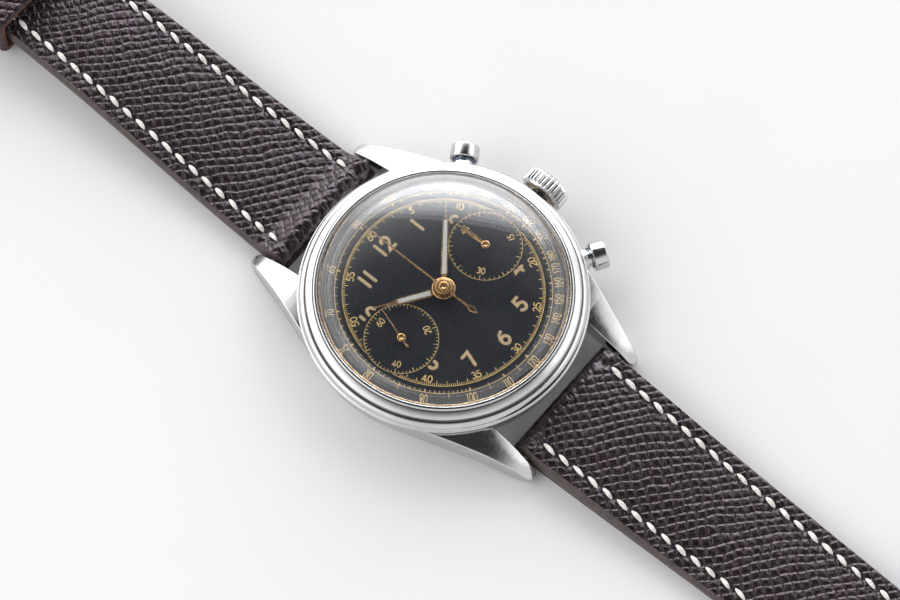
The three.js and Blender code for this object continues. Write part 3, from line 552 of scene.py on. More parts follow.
def leather():
    """Near-black brown calf: glossy on the cells, redder and paler down in the creases."""
    s = Surface("embossed_leather", (0.012, 0.007, 0.009), 0.0, 0.3, specular_ior_level=0.55)
    depth = s.tree.nodes.new("ShaderNodeAttribute")
    depth.attribute_name = "crease"
    crease = depth.outputs["Fac"]
    s.set("Specular Tint", (1.0, 0.86, 0.93, 1.0))
    grain = s.colour(s.noise(1.2, 4), (0.007, 0.004, 0.006), (0.014, 0.008, 0.012))
    s.paint(s.colour(crease, grain, (0.026, 0.011, 0.010), 0.35, 1.0))
    s.rough(s.ramp(s.noise(3.2, 5), 0.15, 0.27))
    s.bump(s.noise(4.2, 5, roughness=0.6), 0.04)
    s.bump(s.cells(5.5, "DISTANCE_TO_EDGE"), 0.02)
    return s.material


def painted_edge():
    s = Surface("painted_edge", (0.055, 0.038, 0.036), 0.0, 0.42)
    s.paint(s.colour(s.noise(0.9, 5), (0.075, 0.052, 0.050), (0.040, 0.027, 0.026)))
    s.bump(s.noise(2.6, 4, stretch=(1, 0.3, 1)), 0.04)
    return s.material


def cut_edge():
    """The raw edge of a leather loop: fibrous and red-brown."""
    s = Surface("cut_edge", (0.11, 0.045, 0.028), 0.0, 0.8)
    s.paint(s.colour(s.noise(3.5, 6, stretch=(1, 1, 4)), (0.15, 0.062, 0.038), (0.055, 0.026, 0.019)))
    s.bump(s.noise(6, 6), 0.05)
    return s.material


def lining():
    s = Surface("strap_lining", (0.10, 0.058, 0.037), 0.0, 0.75, sheen_weight=0.15)
    s.paint(s.colour(s.noise(0.8, 6), (0.125, 0.073, 0.046), (0.070, 0.041, 0.028)))
    s.bump(s.noise(5, 6), 0.04)
    s.bump(s.cells(2.6, "DISTANCE_TO_EDGE"), 0.03)
    return s.material


def thread():
    """Waxed white linen thread, twisted, a little grey where it is handled."""
    s = Surface("linen_thread", (0.78, 0.76, 0.71), 0.0, 0.7, sheen_weight=0.3)
    s.paint(s.colour(s.noise(2.2, 5), (0.86, 0.85, 0.81), (0.56, 0.53, 0.48), 0.42, 0.72))
    s.bump(s.noise(9, 3, stretch=(2.2, 0.7, 1.5)), 0.04)
    return s.material


def rubber():
    # Real gasket rubber, and also the near-black of the strap's holes, which is painted shade.
    s = Surface("gasket_rubber_and_hole_shade", (0.02, 0.02, 0.02), 0.0, 0.7)
    s.bump(s.noise(8, 4), 0.01)
    return s.material


def floor_paint():
    s = Surface("studio_floor", (0.79, 0.79, 0.796), 0.0, 0.6, specular_ior_level=0.2)
    s.paint(s.colour(s.noise(0.02, 3), (0.775, 0.775, 0.782), (0.79, 0.79, 0.796)))
    return s.material


STEEL = polished_steel()
SATIN = satin_steel()
GILT = aged_gilt("aged_gilt", (0.62, 0.40, 0.18), (0.42, 0.24, 0.12))
TARNISH = aged_gilt("tarnished_brass", (0.42, 0.30, 0.17), (0.16, 0.11, 0.07))
SPRING = plated("blued_spring", (0.28, 0.33, 0.45), 0.16, 0.3)
NICKEL = plated("nickel_plate", (0.72, 0.69, 0.62), 0.2, 0.36)
BRASS = plated("gilt_brass", (0.76, 0.56, 0.27), 0.2, 0.38)
LACQUER = dial_lacquer()
PRINT = gilt_print()
RED = red_print()
LUME = aged_lume("aged_lume", (0.60, 0.46, 0.26), (0.20, 0.12, 0.06), 0.52)
OUTLINE = aged_lume("numeral_outline", (0.34, 0.22, 0.10), (0.13, 0.08, 0.04), 0.5)
PALE_LUME = aged_lume("pale_lume", (0.50, 0.50, 0.48), (0.27, 0.25, 0.22), 0.58)
ACRYLIC = acrylic()
LEATHER = leather()
EDGE_PAINT = painted_edge()
CUT_EDGE = cut_edge()
LINING = lining()
THREAD = thread()
RUBBER_AND_HOLE_SHADE = rubber()


# ---- case ----
def lug(side_x, side_y):
    """A lug's plan kept inside its curved side view, with its edges eased and its top falling outwards."""
    inner_face, fall = 9.5, 0.013
    plan = [(inner_face, 13.9), (16.2, 5.3), *bezier((17.36, 5.64), (15.4, 11.2), (12.95, 18.0), 10)]
    plan += bezier((12.95, 18.0), (11.9, 21.4), (11.15, 23.5), 4)[1:]
    plan += [(10.75, 23.85), (9.9, 23.85), (inner_face, 23.3)]
    sides = [(4.5, 2.75), (17.2, 1.5), *bezier((17.6, 1.3), (19.4, 0.45), (23.0, 0.32), 6)]
    sides += [(23.9, 0.5), *bezier((23.9, 1.35), (20.2, 4.9), (12.0, 5.86), 12), (4.5, 5.86)]
    body = combined(prism(plan, 0.0, 7.0), "INTERSECT", side_prism(sides, 9.0, 18.0))
    points, faces = bevelled(body, 0.16, 3)
    shape = [(x, y, z * (1 - fall * (x - inner_face))) for x, y, z in points], faces
    return transformed(shape, Matrix.Diagonal((side_x, side_y, 1, 1)))


def mid_case():
    """The band with a groove for the gasket and a flange for the bezel, the four lugs, and the stems' holes."""
    band = [(14.65, 1.5), (15.1, 1.5), (15.1, 1.92), (15.9, 1.92), (15.9, 1.5), (17.2, 1.5), (17.95, 1.95)]
    band += [(18.3, 2.7), (18.3, 5.9), (17.15, 5.9), (17.15, 7.38), (16.35, 7.38), (16.35, 6.2), (14.4, 6.2)]
    band += [(14.4, 2.5), (14.65, 2.5)]
    lugs = [lug(x, y) for x, y in ((1, 1), (-1, 1), (-1, -1), (1, -1))]
    pusher_hole = cylinder(1.46, 13, 20, 48)
    stem_hole = cylinder(1.24, 13, 20, 48)
    holes = [radial(pusher_hole, PUSHER_ANGLE), radial(pusher_hole, -PUSHER_ANGLE), radial(stem_hole)]
    body = combined(lathe(rounded(band, 0.1, 2), 180), "UNION", *lugs)
    body = combined(body, "DIFFERENCE", *holes, *spring_bar_holes())
    finished("case_middle", body, STEEL, "case", ["mid_case"])


def spring_bar_holes():
    """The blind holes in the lugs' inner faces that take the spring bars' ends."""
    pin = cylinder(0.45, 8.9, 10.6, 24)
    along_x = Matrix.Rotation(math.pi / 2, 4, "Y")
    for y in (-SPRING_BAR_Y, SPRING_BAR_Y):
        for side in (1, -1):
            flip = Matrix.Diagonal((side, 1, 1, 1))
            yield transformed(pin, Matrix.Translation((0, y, 1.9)) @ flip @ along_x)


def bezel():
    """Stepped: a lip at the crystal, a steep bright step, a wide conical band, and a domed shoulder."""
    foot = [(17.22, 6.0), (18.78, 6.0), (19.0, 6.2), (19.0, 6.4), (18.88, 6.46), (18.9, 6.6), (18.76, 6.68)]
    shoulder = [(18.7, 7.1), (18.5, 7.42), (18.2, 7.62), (17.96, 7.68), (17.88, 7.62), (17.86, 8.06)]
    lip = [(17.7, 8.2), (17.0, 8.66), (16.93, 8.6), (16.84, 8.84), (16.7, 8.94), (16.42, 8.94), (16.3, 8.8)]
    seat = [(16.3, 8.1), (16.65, 8.1), (16.65, 7.42), (17.22, 7.42)]
    ring = lathe(rounded([*foot, *shoulder, *lip, *seat], 0.09, 2), 256)
    finished("bezel_ring", ring, STEEL, "case", ["bezel"])


def crystal():
    outer = [(16.58, 7.46), (16.58, 8.02), (16.22, 8.06), *bezier((16.2, 9.0), (16.18, 10.3), (14.4, 10.66), 14)]
    outer += bezier((14.4, 10.66), (8.2, 11.8), (0, 11.8), 20)[1:]
    inner = bezier((0, 10.72), (7.6, 10.72), (13.4, 9.72), 18)
    inner += [*bezier((13.4, 9.72), (15.2, 9.4), (15.25, 8.3), 12)[1:], (16.15, 8.3), (16.15, 7.46)]
    finished("crystal_dome", lathe([*outer, *inner]), ACRYLIC, "case", ["crystal"], sharp=50)


def crystal_seat():
    """The brass ring inside the crystal's foot, and a thin dark ring in the gap round the crystal's outside."""
    ring = sleeve(15.7, 16.1, 7.54, 8.25, 128, 0.06)
    finished("tension_ring_brass", ring, TARNISH, "case", ["tension_ring"])
    line = lathe([(16.23, 8.1), (16.29, 8.1), (16.29, 8.76), (16.23, 8.72)], 128)
    finished("crystal_edge_line", line, TARNISH, "case")


def case_back():
    """A shallow screwed dish with six wrench notches round its edge and a turned ring on its face."""
    rim = [(14.6, 0.0), (15.6, 0.3), (16.6, 0.85), (16.6, 1.45), (14.55, 1.45), (14.55, 2.4), (13.9, 2.4)]
    hollow = [(13.9, 1.1), (13.4, 0.75), (0.02, 0.75), (0.02, 0.0)]
    turned_ring = [(9.4, 0.0), (9.5, 0.06), (9.7, 0.06), (9.8, 0.0)]
    dish = lathe(rounded([*rim, *hollow, *turned_ring], 0.08, 2), 144)
    notch = prism(rounded([(15.2, -0.7), (17.3, -0.7), (17.3, 0.7), (15.2, 0.7)], 0.2), -0.5, 0.62)
    notches = [transformed(notch, Matrix.Rotation(math.pi / 3 * i, 4, "Z")) for i in range(6)]
    dish = combined(dish, "DIFFERENCE", *notches)
    finished("case_back_dish", dish, SATIN, "case", ["case_back"])


# ---- crown and pushers ----
def crown():
    """A fluted crown: round ridges with sharp valleys, a plain rim at the case and a domed end."""
    bore = [(0.55, 21.4), (0.55, 20.6), (1.35, 20.6), (1.35, 19.5), (2.62, 19.5), (2.72, 19.56), (2.78, 19.72)]
    side = [(3.0, 19.8), (3.14, 19.95), (3.15, 20.2), (3.15, 21.3), (3.13, 21.5), (3.02, 21.68), (2.82, 21.82)]
    end = [(2.5, 21.92), (1.4, 22.05), (0.02, 22.12), (0.02, 21.4)]
    flutes, steps_per_flute = 28, 12
    first, last = len(bore), len(bore) + len(side)

    def ridges(k, radius, angle):
        if not first <= k <= last:
            return radius
        depth = 0.42 if first < k < last - 1 else 0.2
        return radius - depth * (1 - abs(math.cos(flutes / 2 * angle)) ** 0.7)

    shell = radial(lathe([*bore, *side, *end], flutes * steps_per_flute, ridges))
    finished("crown_knob", shell, STEEL, "crown_and_stem", ["crown"], sharp=50)
    finished("crown_rim", radial(sleeve(1.6, 2.5, 19.42, 19.5, 64, 0.03, 3)), TARNISH, "crown_and_stem")


def pusher(side, angle):
    """A hollow cap on its stem, and the tube in the band that it slides in."""
    stem = [(0.02, 13.8), (0.6, 13.8), (0.6, 15.5), (1.13, 15.5), (1.13, 21.3), (1.55, 21.3), (1.55, 20.2)]
    cap = [(1.84, 20.2), (1.93, 20.34), (1.93, 22.02), (1.78, 22.18), (0.02, 22.25)]
    node, tube_node = f"pusher_{side}", f"pusher_tube_{side}"
    shell = radial(lathe(rounded([*stem, *cap], 0.06, 2), 96), angle)
    finished(f"{node}_cap", shell, STEEL, node, [node])
    shell = radial(sleeve(1.2, 1.42, 14.6, 19.6, 64, 0.05), angle)
    finished(f"{tube_node}_sleeve", shell, SATIN, "case", [tube_node])


def pusher_spring(side, angle):
    """The return spring inside a pusher's cap, made as a coil at its rest length."""
    coil_radius, wire_radius, turns = 1.34, 0.09, 3
    inner, outer, slack = 19.75, 21.15, 0.04
    steps_per_turn, around = 24, 10
    steps = steps_per_turn * turns
    points = []
    for i in range(steps + 1):
        a = TAU * i / steps_per_turn
        height = inner + (outer - inner) * i / steps
        for k in range(around):
            b = TAU * k / around
            r = coil_radius + wire_radius * math.cos(b)
            points.append((r * math.cos(a), r * math.sin(a), height + wire_radius * math.sin(b)))
    shell = radial((points, tube_faces(steps + 1, around)), angle)
    node = f"pusher_spring_{side}"
    piece = finished(f"{node}_coil", shell, SPRING, "case", [node])
    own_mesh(piece)


# ---- dial ----
def dial_plate():
    """The lacquered plate, with a sunk well and a hole for the arbor at each sub-dial."""
    plate = lathe([(1.0, 7.1), (16.0, 7.1), (16.0, 7.47), (15.97, DIAL_TOP), (1.0, DIAL_TOP)], 144)
    well = lathe([(0, SUB_DIAL_TOP), (SUB_DIAL_RADIUS, SUB_DIAL_TOP), (SUB_DIAL_RADIUS + 0.06, 8), (0, 8)], 96)
    eye = cylinder(0.42, 7, 8, 32)
    tools = [moved(tool, side * SUB_DIAL_OFFSET) for side in (1, -1) for tool in (well, eye)]
    plate = combined(plate, "DIFFERENCE", *tools)
    finished("dial_plate", plate, LACQUER, "case", ["dial"], sharp=20)


def digit_strokes():
    """Each digit's width and its one stroke, in a box one unit high."""
    pi, half = math.pi, math.pi / 2
    oval = [(0.31 + 0.31 * math.sin(a), 0.5 + 0.5 * math.cos(a)) for a in np.linspace(0, TAU, 21)]
    two = [*arc(0.29, pi * 0.95, -0.25 * pi, 9, 0.3, 0.71), (0.02, 0.0), (0.6, 0.0)]
    three = [*arc(0.25, 0.85 * pi, -half, 8, 0.29, 0.75), *arc(0.28, half, -0.85 * pi, 8, 0.29, 0.28)[1:]]
    five = [(0.54, 1.0), (0.14, 1.0), (0.08, 0.58), *arc(0.3, 0.62 * pi, -0.82 * pi, 10, 0.28, 0.31)]
    six = [(0.52, 0.94), (0.3, 0.86), (0.08, 0.58), *arc(0.3, pi, 3 * pi, 16, 0.31, 0.3)]
    eight = [*arc(0.25, -half, 1.5 * pi, 14, 0.3, 0.75), *arc(0.28, half, -1.5 * pi, 14, 0.3, 0.27)[1:]]
    nine = [(0.1, 0.06), (0.32, 0.14), (0.54, 0.42), *arc(0.3, 0, 2 * pi, 16, 0.31, 0.7)]
    return {
        "0": (0.62, oval),
        "1": (0.24, [(0.12, 0.0), (0.12, 1.0)]),
        "2": (0.6, two),
        "3": (0.58, three),
        "4": (0.66, [(0.46, 0.0), (0.46, 1.0), (0.0, 0.27), (0.66, 0.27)]),
        "5": (0.6, five),
        "6": (0.62, six),
        "7": (0.58, [(0.0, 1.0), (0.56, 1.0), (0.2, 0.0)]),
        "8": (0.6, eight),
        "9": (0.62, nine),
    }


DIGITS = digit_strokes()


def number_paths(text, height, stretch=1.0, gap=0.2):
    """The strokes of a number, centred on the origin."""
    paths, x = [], 0.0
    for character in text:
        width, stroke = DIGITS[character]
        paths.append([((x + px * stretch) * height, (py - 0.5) * height) for px, py in stroke])
        x += width * stretch + gap
    middle = (x - gap) * height / 2
    return [[(px - middle, py) for px, py in path] for path in paths]


def placed(paths, x, y, turn):
    """Paths turned counter-clockwise by an angle and moved to a place."""
    c, s = math.cos(turn), math.sin(turn)
    return [[(x + px * c - py * s, y + px * s + py * c) for px, py in path] for path in paths]


def clear_of_sub_dials(point, margin):
    return math.hypot(abs(point[0]) - SUB_DIAL_OFFSET, point[1]) > SUB_DIAL_RADIUS + margin


def outside_sub_dials(path, margin, step=0.12):
    """The runs of a path that lie clear of both sub-dials."""
    dense = []
    for a, b in zip(path, path[1:]):
        count = max(1, int(math.dist(a, b) / step))
        dense += [tuple(Vector(a).lerp(Vector(b), k / count)) for k in range(count)]
    dense.append(tuple(path[-1]))
    runs, run = [], []
    for point in dense:
        if clear_of_sub_dials(point, margin):
            run.append(point)
            continue
        runs.append(run)
        run = []
    runs.append(run)
    return [run for run in runs if len(run) > 1]


def polar(radius, degrees, x=0.0):
    """A point at a clock angle round (x, 0)."""
    a = math.radians(degrees)
    return x + radius * math.sin(a), radius * math.cos(a)


def printed(paths, width, z):
    return [ribbon(path, width, z, z + PRINT_THICKNESS) for path in paths]


def tick(degrees, inner, outer, width, z, x=0.0):
    return printed([[polar(inner, degrees, x), polar(outer, degrees, x)]], width, z)[0]


def circle_line(radius, width, z, x=0.0, steps=160):
    return moved(sleeve(radius - width / 2, radius + width / 2, z, z + PRINT_THICKNESS, steps), x)


def reading_turn(degrees):
    """Numbers stand away from the middle in the upper half of a scale, and towards it in the lower half."""
    upper = degrees <= 90 or degrees > 270
    return -math.radians(degrees) + (0 if upper else math.pi)


def tachymeter():
    """The outer scale of speeds: each value lies at 360 degrees times 60 over it."""
    z, line, full_turn = DIAL_TOP, 14.1, 360 * 60
    shells = [circle_line(line, 0.075, z)]
    for value in (1000, 500, 400, 350, 300, 250, 220, 200, *range(180, 90, -10), 90, 80, 75, 70, 65, 60):
        angle = full_turn / value
        shells.append(tick(angle, 13.68, line, 0.2, z))
        paths = number_paths(str(value), 0.92, 0.72, 0.17)
        shells += printed(placed(paths, *polar(14.9, angle), reading_turn(angle)), 0.105, z)
    for value in (*range(60, 100), *range(100, 200, 5), *range(200, 400, 10), 450, 600, 800):
        shells.append(tick(full_turn / value, 13.74, line, 0.085, z))
    for value in (85, 95, 105, 115):
        shells.append(tick(full_turn / value, 13.7, 14.75, 0.07, z))
    return shells


def minute_track():
    """Fifths of a second all round, long at each second, numbered by fives, left out over the sub-dials."""
    z, line = DIAL_TOP, 13.1
    whole = [polar(line, a) for a in np.arange(0, 360.5, 1.5)]
    shells = printed(outside_sub_dials(whole, 0.02), 0.07, z)
    for i in range(300):
        angle = i * 1.2
        inner = line - (0.72 if i % 5 == 0 else 0.36)
        if clear_of_sub_dials(polar(inner, angle), 0.05) and clear_of_sub_dials(polar(line, angle), 0.02):
            shells.append(tick(angle, inner, line, 0.085, z))
    for minute in (5, 10, 20, 25, 30, 35, 40, 50, 55, 60):
        angle = minute * 6
        paths = number_paths(str(minute), 0.88)
        for path in placed(paths, *polar(12.2, angle), reading_turn(angle)):
            shells += printed(outside_sub_dials(path, 0.05), 0.13, z)
    return shells


def sub_dial(x, count, labels):
    """A small scale with a tick for each unit, long at each fifth, and its numbers inside."""
    z, line = SUB_DIAL_TOP, 4.81
    shells = [circle_line(line, 0.06, z, x, 96)]
    for i in range(count):
        shells.append(tick(360 * i / count, 4.2 if i % 5 == 0 else 4.5, line, 0.075, z, x))
    for text, angle in labels:
        paths = number_paths(text, 0.82, 0.86, 0.19)
        shells += printed(placed(paths, *polar(3.52, angle, x), reading_turn(angle)), 0.115, z)
    return shells


def dial_print():
    """All the gilt print, and the red marks of every third minute across the counter's ring."""
    shells = tachymeter() + minute_track()
    shells += sub_dial(-SUB_DIAL_OFFSET, 60, [("60", 0), ("20", 120), ("40", 240)])
    shells += sub_dial(SUB_DIAL_OFFSET, 45, [("45", 0), ("15", 120), ("30", 240)])
    finished("dial_print", joined(*shells), PRINT, "case")
    over_edge = DIAL_TOP - SUB_DIAL_TOP + 0.005
    marks = [tick(8 * minute, 4.35, 5.15, 0.13, SUB_DIAL_TOP, SUB_DIAL_OFFSET) for minute in (3, 6, 9, 12)]
    marks = [moved(mark, z=over_edge) for mark in marks]
    finished("counter_red_marks", joined(*marks), RED, "case")


def hour_numerals():
    """Upright painted numerals over thin brown outlines. Those beside a sub-dial stop at its edge."""
    shells, outlines = [], []
    for hour in (12, 1, 2, 4, 5, 6, 7, 8, 10, 11):
        for path in placed(number_paths(str(hour), 1.9, 0.95, 0.34), *polar(10.0, hour * 30), 0):
            for run in outside_sub_dials(path, 0.3, 0.2):
                if len(run) > 2:
                    shells.append(ribbon(run, 0.36, DIAL_TOP, DIAL_TOP + 0.09, 5, 0.06))
                    outlines.append(ribbon(run, 0.5, DIAL_TOP, DIAL_TOP + 0.02, 5, 0.03))
    finished("hour_numerals", joined(*shells), LUME, "case")
    finished("hour_numeral_outlines", joined(*outlines), OUTLINE, "case")


# ---- hands ----
def bar(half_widths, z0, z1, ease=0.03):
    """A tapered bar along +Y from (distance, half width) pairs."""
    right = [(w, y) for y, w in half_widths]
    left = [(-w, y) for y, w in reversed(half_widths)]
    return prism(right + left, z0, z1, ease)


def framed_bar(half_widths, z0, z1, rim):
    """A bar whose broad part is a raised frame round a painted channel: the frame, and the paint."""
    outer = bar(half_widths, z0, z1, 0.025)
    broad = [(y, w - rim) for y, w in half_widths if w > rim + 0.1]
    channel = bar(broad, z1 - 0.06, z1 + 1, 0.0)
    return combined(outer, "DIFFERENCE", channel), bar(broad, z1 - 0.055, z1 + 0.015, 0.02)


def boss(profile, steps=72):
    return lathe(rounded(profile, 0.05, 2), steps)


def gilt_hand(name, shells, reading, body, node, x=0.0):
    shell = moved(turned_by(joined(*shells), READINGS[reading]), x)
    finished(f"{name}_gilt", shell, GILT, body, [node])


def hand_paint(name, shell, reading, body):
    finished(f"{name}_lume", turned_by(shell, READINGS[reading]), PALE_LUME, body)


def main_hands():
    """Syringe hands for the hours and minutes, and a counterpoised needle over them."""
    shape = [(0, 0.2), (1.3, 0.2), (1.75, 0.52), (6.1, 0.46), (6.75, 0.16), (9.4, 0.07)]
    frame_part, paint = framed_bar(shape, 8.1, 8.26, 0.19)
    hub = boss([(0.6, 8.08), (1.2, 8.08), (1.2, 8.3), (0.6, 8.3)])
    gilt_hand("hour_hand", [frame_part, hub], "hour", "hour_hand_set", "hour_hand")
    hand_paint("hour_hand", paint, "hour", "hour_hand_set")

    shape = [(0, 0.2), (1.6, 0.2), (2.05, 0.46), (9.6, 0.38), (10.3, 0.13), (12.6, 0.06)]
    frame_part, paint = framed_bar(shape, 8.55, 8.71, 0.165)
    hub = boss([(0.3, 8.52), (1.55, 8.52), (1.55, 8.78), (1.42, 8.86), (0.3, 8.86)])
    gilt_hand("minute_hand", [frame_part, hub], "minute", "minute_hand_set", "minute_hand")
    hand_paint("minute_hand", paint, "minute", "minute_hand_set")

    needle = bar([(-4.0, 0.13), (0, 0.15), (14.2, 0.055)], 9.04, 9.14, 0.02)
    lozenge = prism([(0, -5.75), (0.44, -4.75), (0, -3.65), (-0.44, -4.75)], 9.03, 9.16, 0.03)
    eye = prism([(0, -5.3), (0.2, -4.75), (0, -4.15), (-0.2, -4.75)], 8.9, 9.4)
    lozenge = combined(lozenge, "DIFFERENCE", eye)
    cap = [(0.14, 9.02), (1.1, 9.02), (1.12, 9.36), (1.02, 9.44), (0.62, 9.42), (0.56, 9.5), (0.3, 9.5)]
    hub = boss([*cap, (0.26, 9.36), (0.14, 9.36)])
    parts = [needle, lozenge, hub]
    gilt_hand("chronograph_hand", parts, "chronograph", "chronograph_runner", "chronograph_hand")


def small_hands():
    """A baton with a ball on its tail for the running seconds, and a leaf for the minute counter."""
    z0, z1 = 7.74, 7.85
    hub = boss([(0.12, 7.7), (0.58, 7.7), (0.58, 7.93), (0.48, 8.0), (0.24, 8.0), (0.22, 7.9), (0.12, 7.9)], 48)
    baton = bar([(-1.4, 0.1), (0, 0.13), (4.4, 0.05)], z0, z1, 0.02)
    ball = lathe([(0, z0), (0.22, z0 + 0.02), (0.24, z0 + 0.06), (0.2, z1 + 0.03), (0, z1 + 0.06)], 24)
    parts = [baton, moved(ball, 0, -1.45), hub]
    gilt_hand("running_seconds", parts, "seconds", "seconds_arbor", "running_seconds_hand", -SUB_DIAL_OFFSET)
    leaf = bar([(0, 0.12), (1.0, 0.24), (1.9, 0.31), (2.9, 0.24), (4.2, 0.06)], z0, z1, 0.03)
    gilt_hand("minute_counter", [leaf, hub], "counter", "minute_counter", "minute_counter_hand", SUB_DIAL_OFFSET)


# ---- leather ----
class Lattice:
    """Smooth noise from a seeded grid of numbers, from -1 to 1."""

    def __init__(self, seed, size=256):
        self.grid = np.random.default_rng(seed).uniform(-1, 1, (size, size))
        self.size = size

    def __call__(self, x, y):
        ix, iy = np.floor(x).astype(int), np.floor(y).astype(int)
        fx, fy = x - ix, y - iy
        fx, fy = smooth(fx), smooth(fy)
        g, n = self.grid, self.size
        low = g[ix % n, iy % n] * (1 - fx) + g[(ix + 1) % n, iy % n] * fx
        high = g[ix % n, (iy + 1) % n] * (1 - fx) + g[(ix + 1) % n, (iy + 1) % n] * fx
        return low * (1 - fy) + high * fy

    def at(self, ix, iy):
        """The grid's own number for each cell."""
        return self.grid[ix % self.size, iy % self.size]


WARP, WAVE, CELL, FINE = Lattice(11), Lattice(23), Lattice(37), Lattice(41)
ROW_PITCH, COLUMN_PITCH, GRAIN_TURN = 1.13, 1.3, math.radians(39.4)
GRAIN_SIDE, PAINTED_SIDE, LINED_SIDE, CUT_SIDE = range(4)  # the order of a leather piece's materials


def smooth(t):
    """0 to 1, level at both ends."""
    return t * t * (3 - 2 * t)


def groove(distance, width):
    """1 on a crease's line, falling to 0 at its width."""
    return smooth(np.clip(1 - distance / width, 0, 1))


def grain(x, y):
    """The embossed pattern's height below the cells' tops, and how deep in a crease each point is, from 0 to 1.

    Wavy rows are cut into cells, and some cells are split again by a shallow crease.
    """
    c, s = math.cos(GRAIN_TURN), math.sin(GRAIN_TURN)
    u = x * c - y * s
    v = x * s + y * c
    v = v + 0.42 * WARP(u / 7, v / 5) + 0.2 * WARP(u / 1.8 + 9, v / 1.5)
    row = np.floor(v / ROW_PITCH).astype(int)
    across = np.abs(v / ROW_PITCH - row - 0.5) * 2
    row_distance = (1 - across) * ROW_PITCH / 2
    slide = u + 0.4 * WAVE(u / 5, v / 5) + 0.26 * CELL.at(row, row * 7 + 3)
    place = slide / COLUMN_PITCH + 0.3 * WAVE(row * 1.7, 4.0)
    column = np.floor(place).astype(int)
    along = place - column
    column_distance = np.minimum(along, 1 - along) * COLUMN_PITCH
    split = CELL.at(row * 3 + 1, column * 5 + 2)
    split_distance = np.abs(along - 0.5 - 0.12 * split) * COLUMN_PITCH
    crease = np.maximum(groove(row_distance, 0.19), 0.95 * groove(column_distance, 0.17))
    crease = np.maximum(crease, np.where(split > 0.45, 0.6 * groove(split_distance, 0.13), 0))
    edge = np.minimum(row_distance / 0.5, column_distance / 0.6)
    pillow = 0.06 * (1 - np.clip(edge, 0, 1)) ** 2
    lift = 0.04 * CELL.at(row, column) + 0.035 * FINE(u * 2.4, v * 2.4) + 0.02 * FINE(u * 5.1, v * 4.7)
    return -0.15 * crease - pillow + lift, crease


def right_edge(y):
    (y0, w0), (y1, w1) = STRAP_TAPER
    return np.interp(np.abs(y), [y0, y1], [w0, w1])


def left_edge(y):
    return -right_edge(y)


def strap_skin(
    stations, z_top, z_bottom, left=left_edge, right=right_edge, top_steps=136, grained=True, stitched=True
):
    """A length of strap: at each station along Y, a loop over the top, round one edge, under and round the other.

    left and right give the edges' X at each station. Returns points, faces, material indices and crease depths.
    """
    y = np.asarray(stations, float)[:, None]
    zt, zb = z_top(y), z_bottom(y)
    thick = zt - zb
    ease = np.minimum(0.55, thick * 0.45)
    xl, xr = left(y), right(y)

    # Over the top: a padded middle, a channel under the stitches, rolled edges and the grain.
    x_top = xl + ease * 0.6 + (xr - xl - 1.2 * ease) * np.linspace(0, 1, top_steps)[None, :]
    inset = np.minimum(x_top - xl, xr - x_top)
    padding = 0.28 * np.clip((inset - 2.5) / 4.0, 0, 1) ** 0.6 * np.clip((thick - 0.8) / 1.5, 0, 1)
    channel = 0.17 * groove(np.abs(inset - STITCH_INSET), 0.75) if stitched else 0.0
    roll = 0.2 * np.clip(1 - inset / 1.0, 0, 1) ** 2
    steps = np.hypot(np.diff(y[:, 0]), np.diff(zt[:, 0]))
    travel = y[-1, 0] - np.append(np.cumsum(steps[::-1])[::-1], 0.0)[:, None]
    height, crease = grain(x_top, travel) if grained else (0.0 * x_top, 0.0 * x_top)
    fade = np.clip(inset / 0.5, 0.35, 1) * np.clip(thick / 1.2, 0, 1)
    top = zt - 0.3 + padding - channel - roll + height * fade

    # The round edges.
    turn = np.linspace(0, 1, 9)[None, 1:-1]
    side_steps = turn.shape[1]
    tuck = ease * 0.6 * (1 - np.sin(np.pi * turn)) ** 1.5
    swell = 0.10 * np.sin(np.pi * turn) * np.clip(thick / 2, 0, 1)
    low = zb + 0.25 * ease
    z_right = top[:, -1:] + (low - top[:, -1:]) * turn
    z_left = low + (top[:, :1] - low) * turn
    x_right = xr - tuck - 0.1 + swell
    x_left = xl + tuck + 0.1 - swell

    # Under: smooth, with a shallow channel for the stitches.
    under_steps = 28
    x_under = xl + 0.3 * ease + (xr - xl - 0.6 * ease) * np.linspace(1, 0, under_steps)[None, :]
    inset = np.minimum(x_under - xl, xr - x_under)
    under = zb + 0.12 * groove(np.abs(inset - STITCH_INSET), 0.8) + 0.02 * (1 + FINE(x_under, y))

    x_all = np.concatenate([x_top, x_right, x_under, x_left], 1)
    z_all = np.concatenate([top, z_right, under, z_left], 1)
    rows, columns = x_all.shape
    points = np.stack([x_all, y + 0 * x_all, z_all], 2).reshape(-1, 3)
    depth = np.zeros((rows, columns))
    depth[:, :top_steps] = crease * fade
    kinds = np.full(columns, GRAIN_SIDE)
    under_start = top_steps + side_steps
    under_end = under_start + under_steps - 1
    kinds[top_steps - 1 :] = PAINTED_SIDE
    kinds[under_start:under_end] = LINED_SIDE
    i, j = np.meshgrid(np.arange(rows - 1), np.arange(columns), indexing="ij")
    k = (j + 1) % columns
    quads = np.stack([i * columns + j, i * columns + k, (i + 1) * columns + k, (i + 1) * columns + j], 2)
    faces = [tuple(q) for q in quads.reshape(-1, 4).tolist()]
    indices = np.broadcast_to(kinds, (rows - 1, columns)).reshape(-1).tolist()
    faces.append(tuple(range(columns - 1, -1, -1)))
    faces.append(tuple(range((rows - 1) * columns, rows * columns)))
    return points.tolist(), faces, indices + [PAINTED_SIDE] * 2, depth.reshape(-1).tolist()


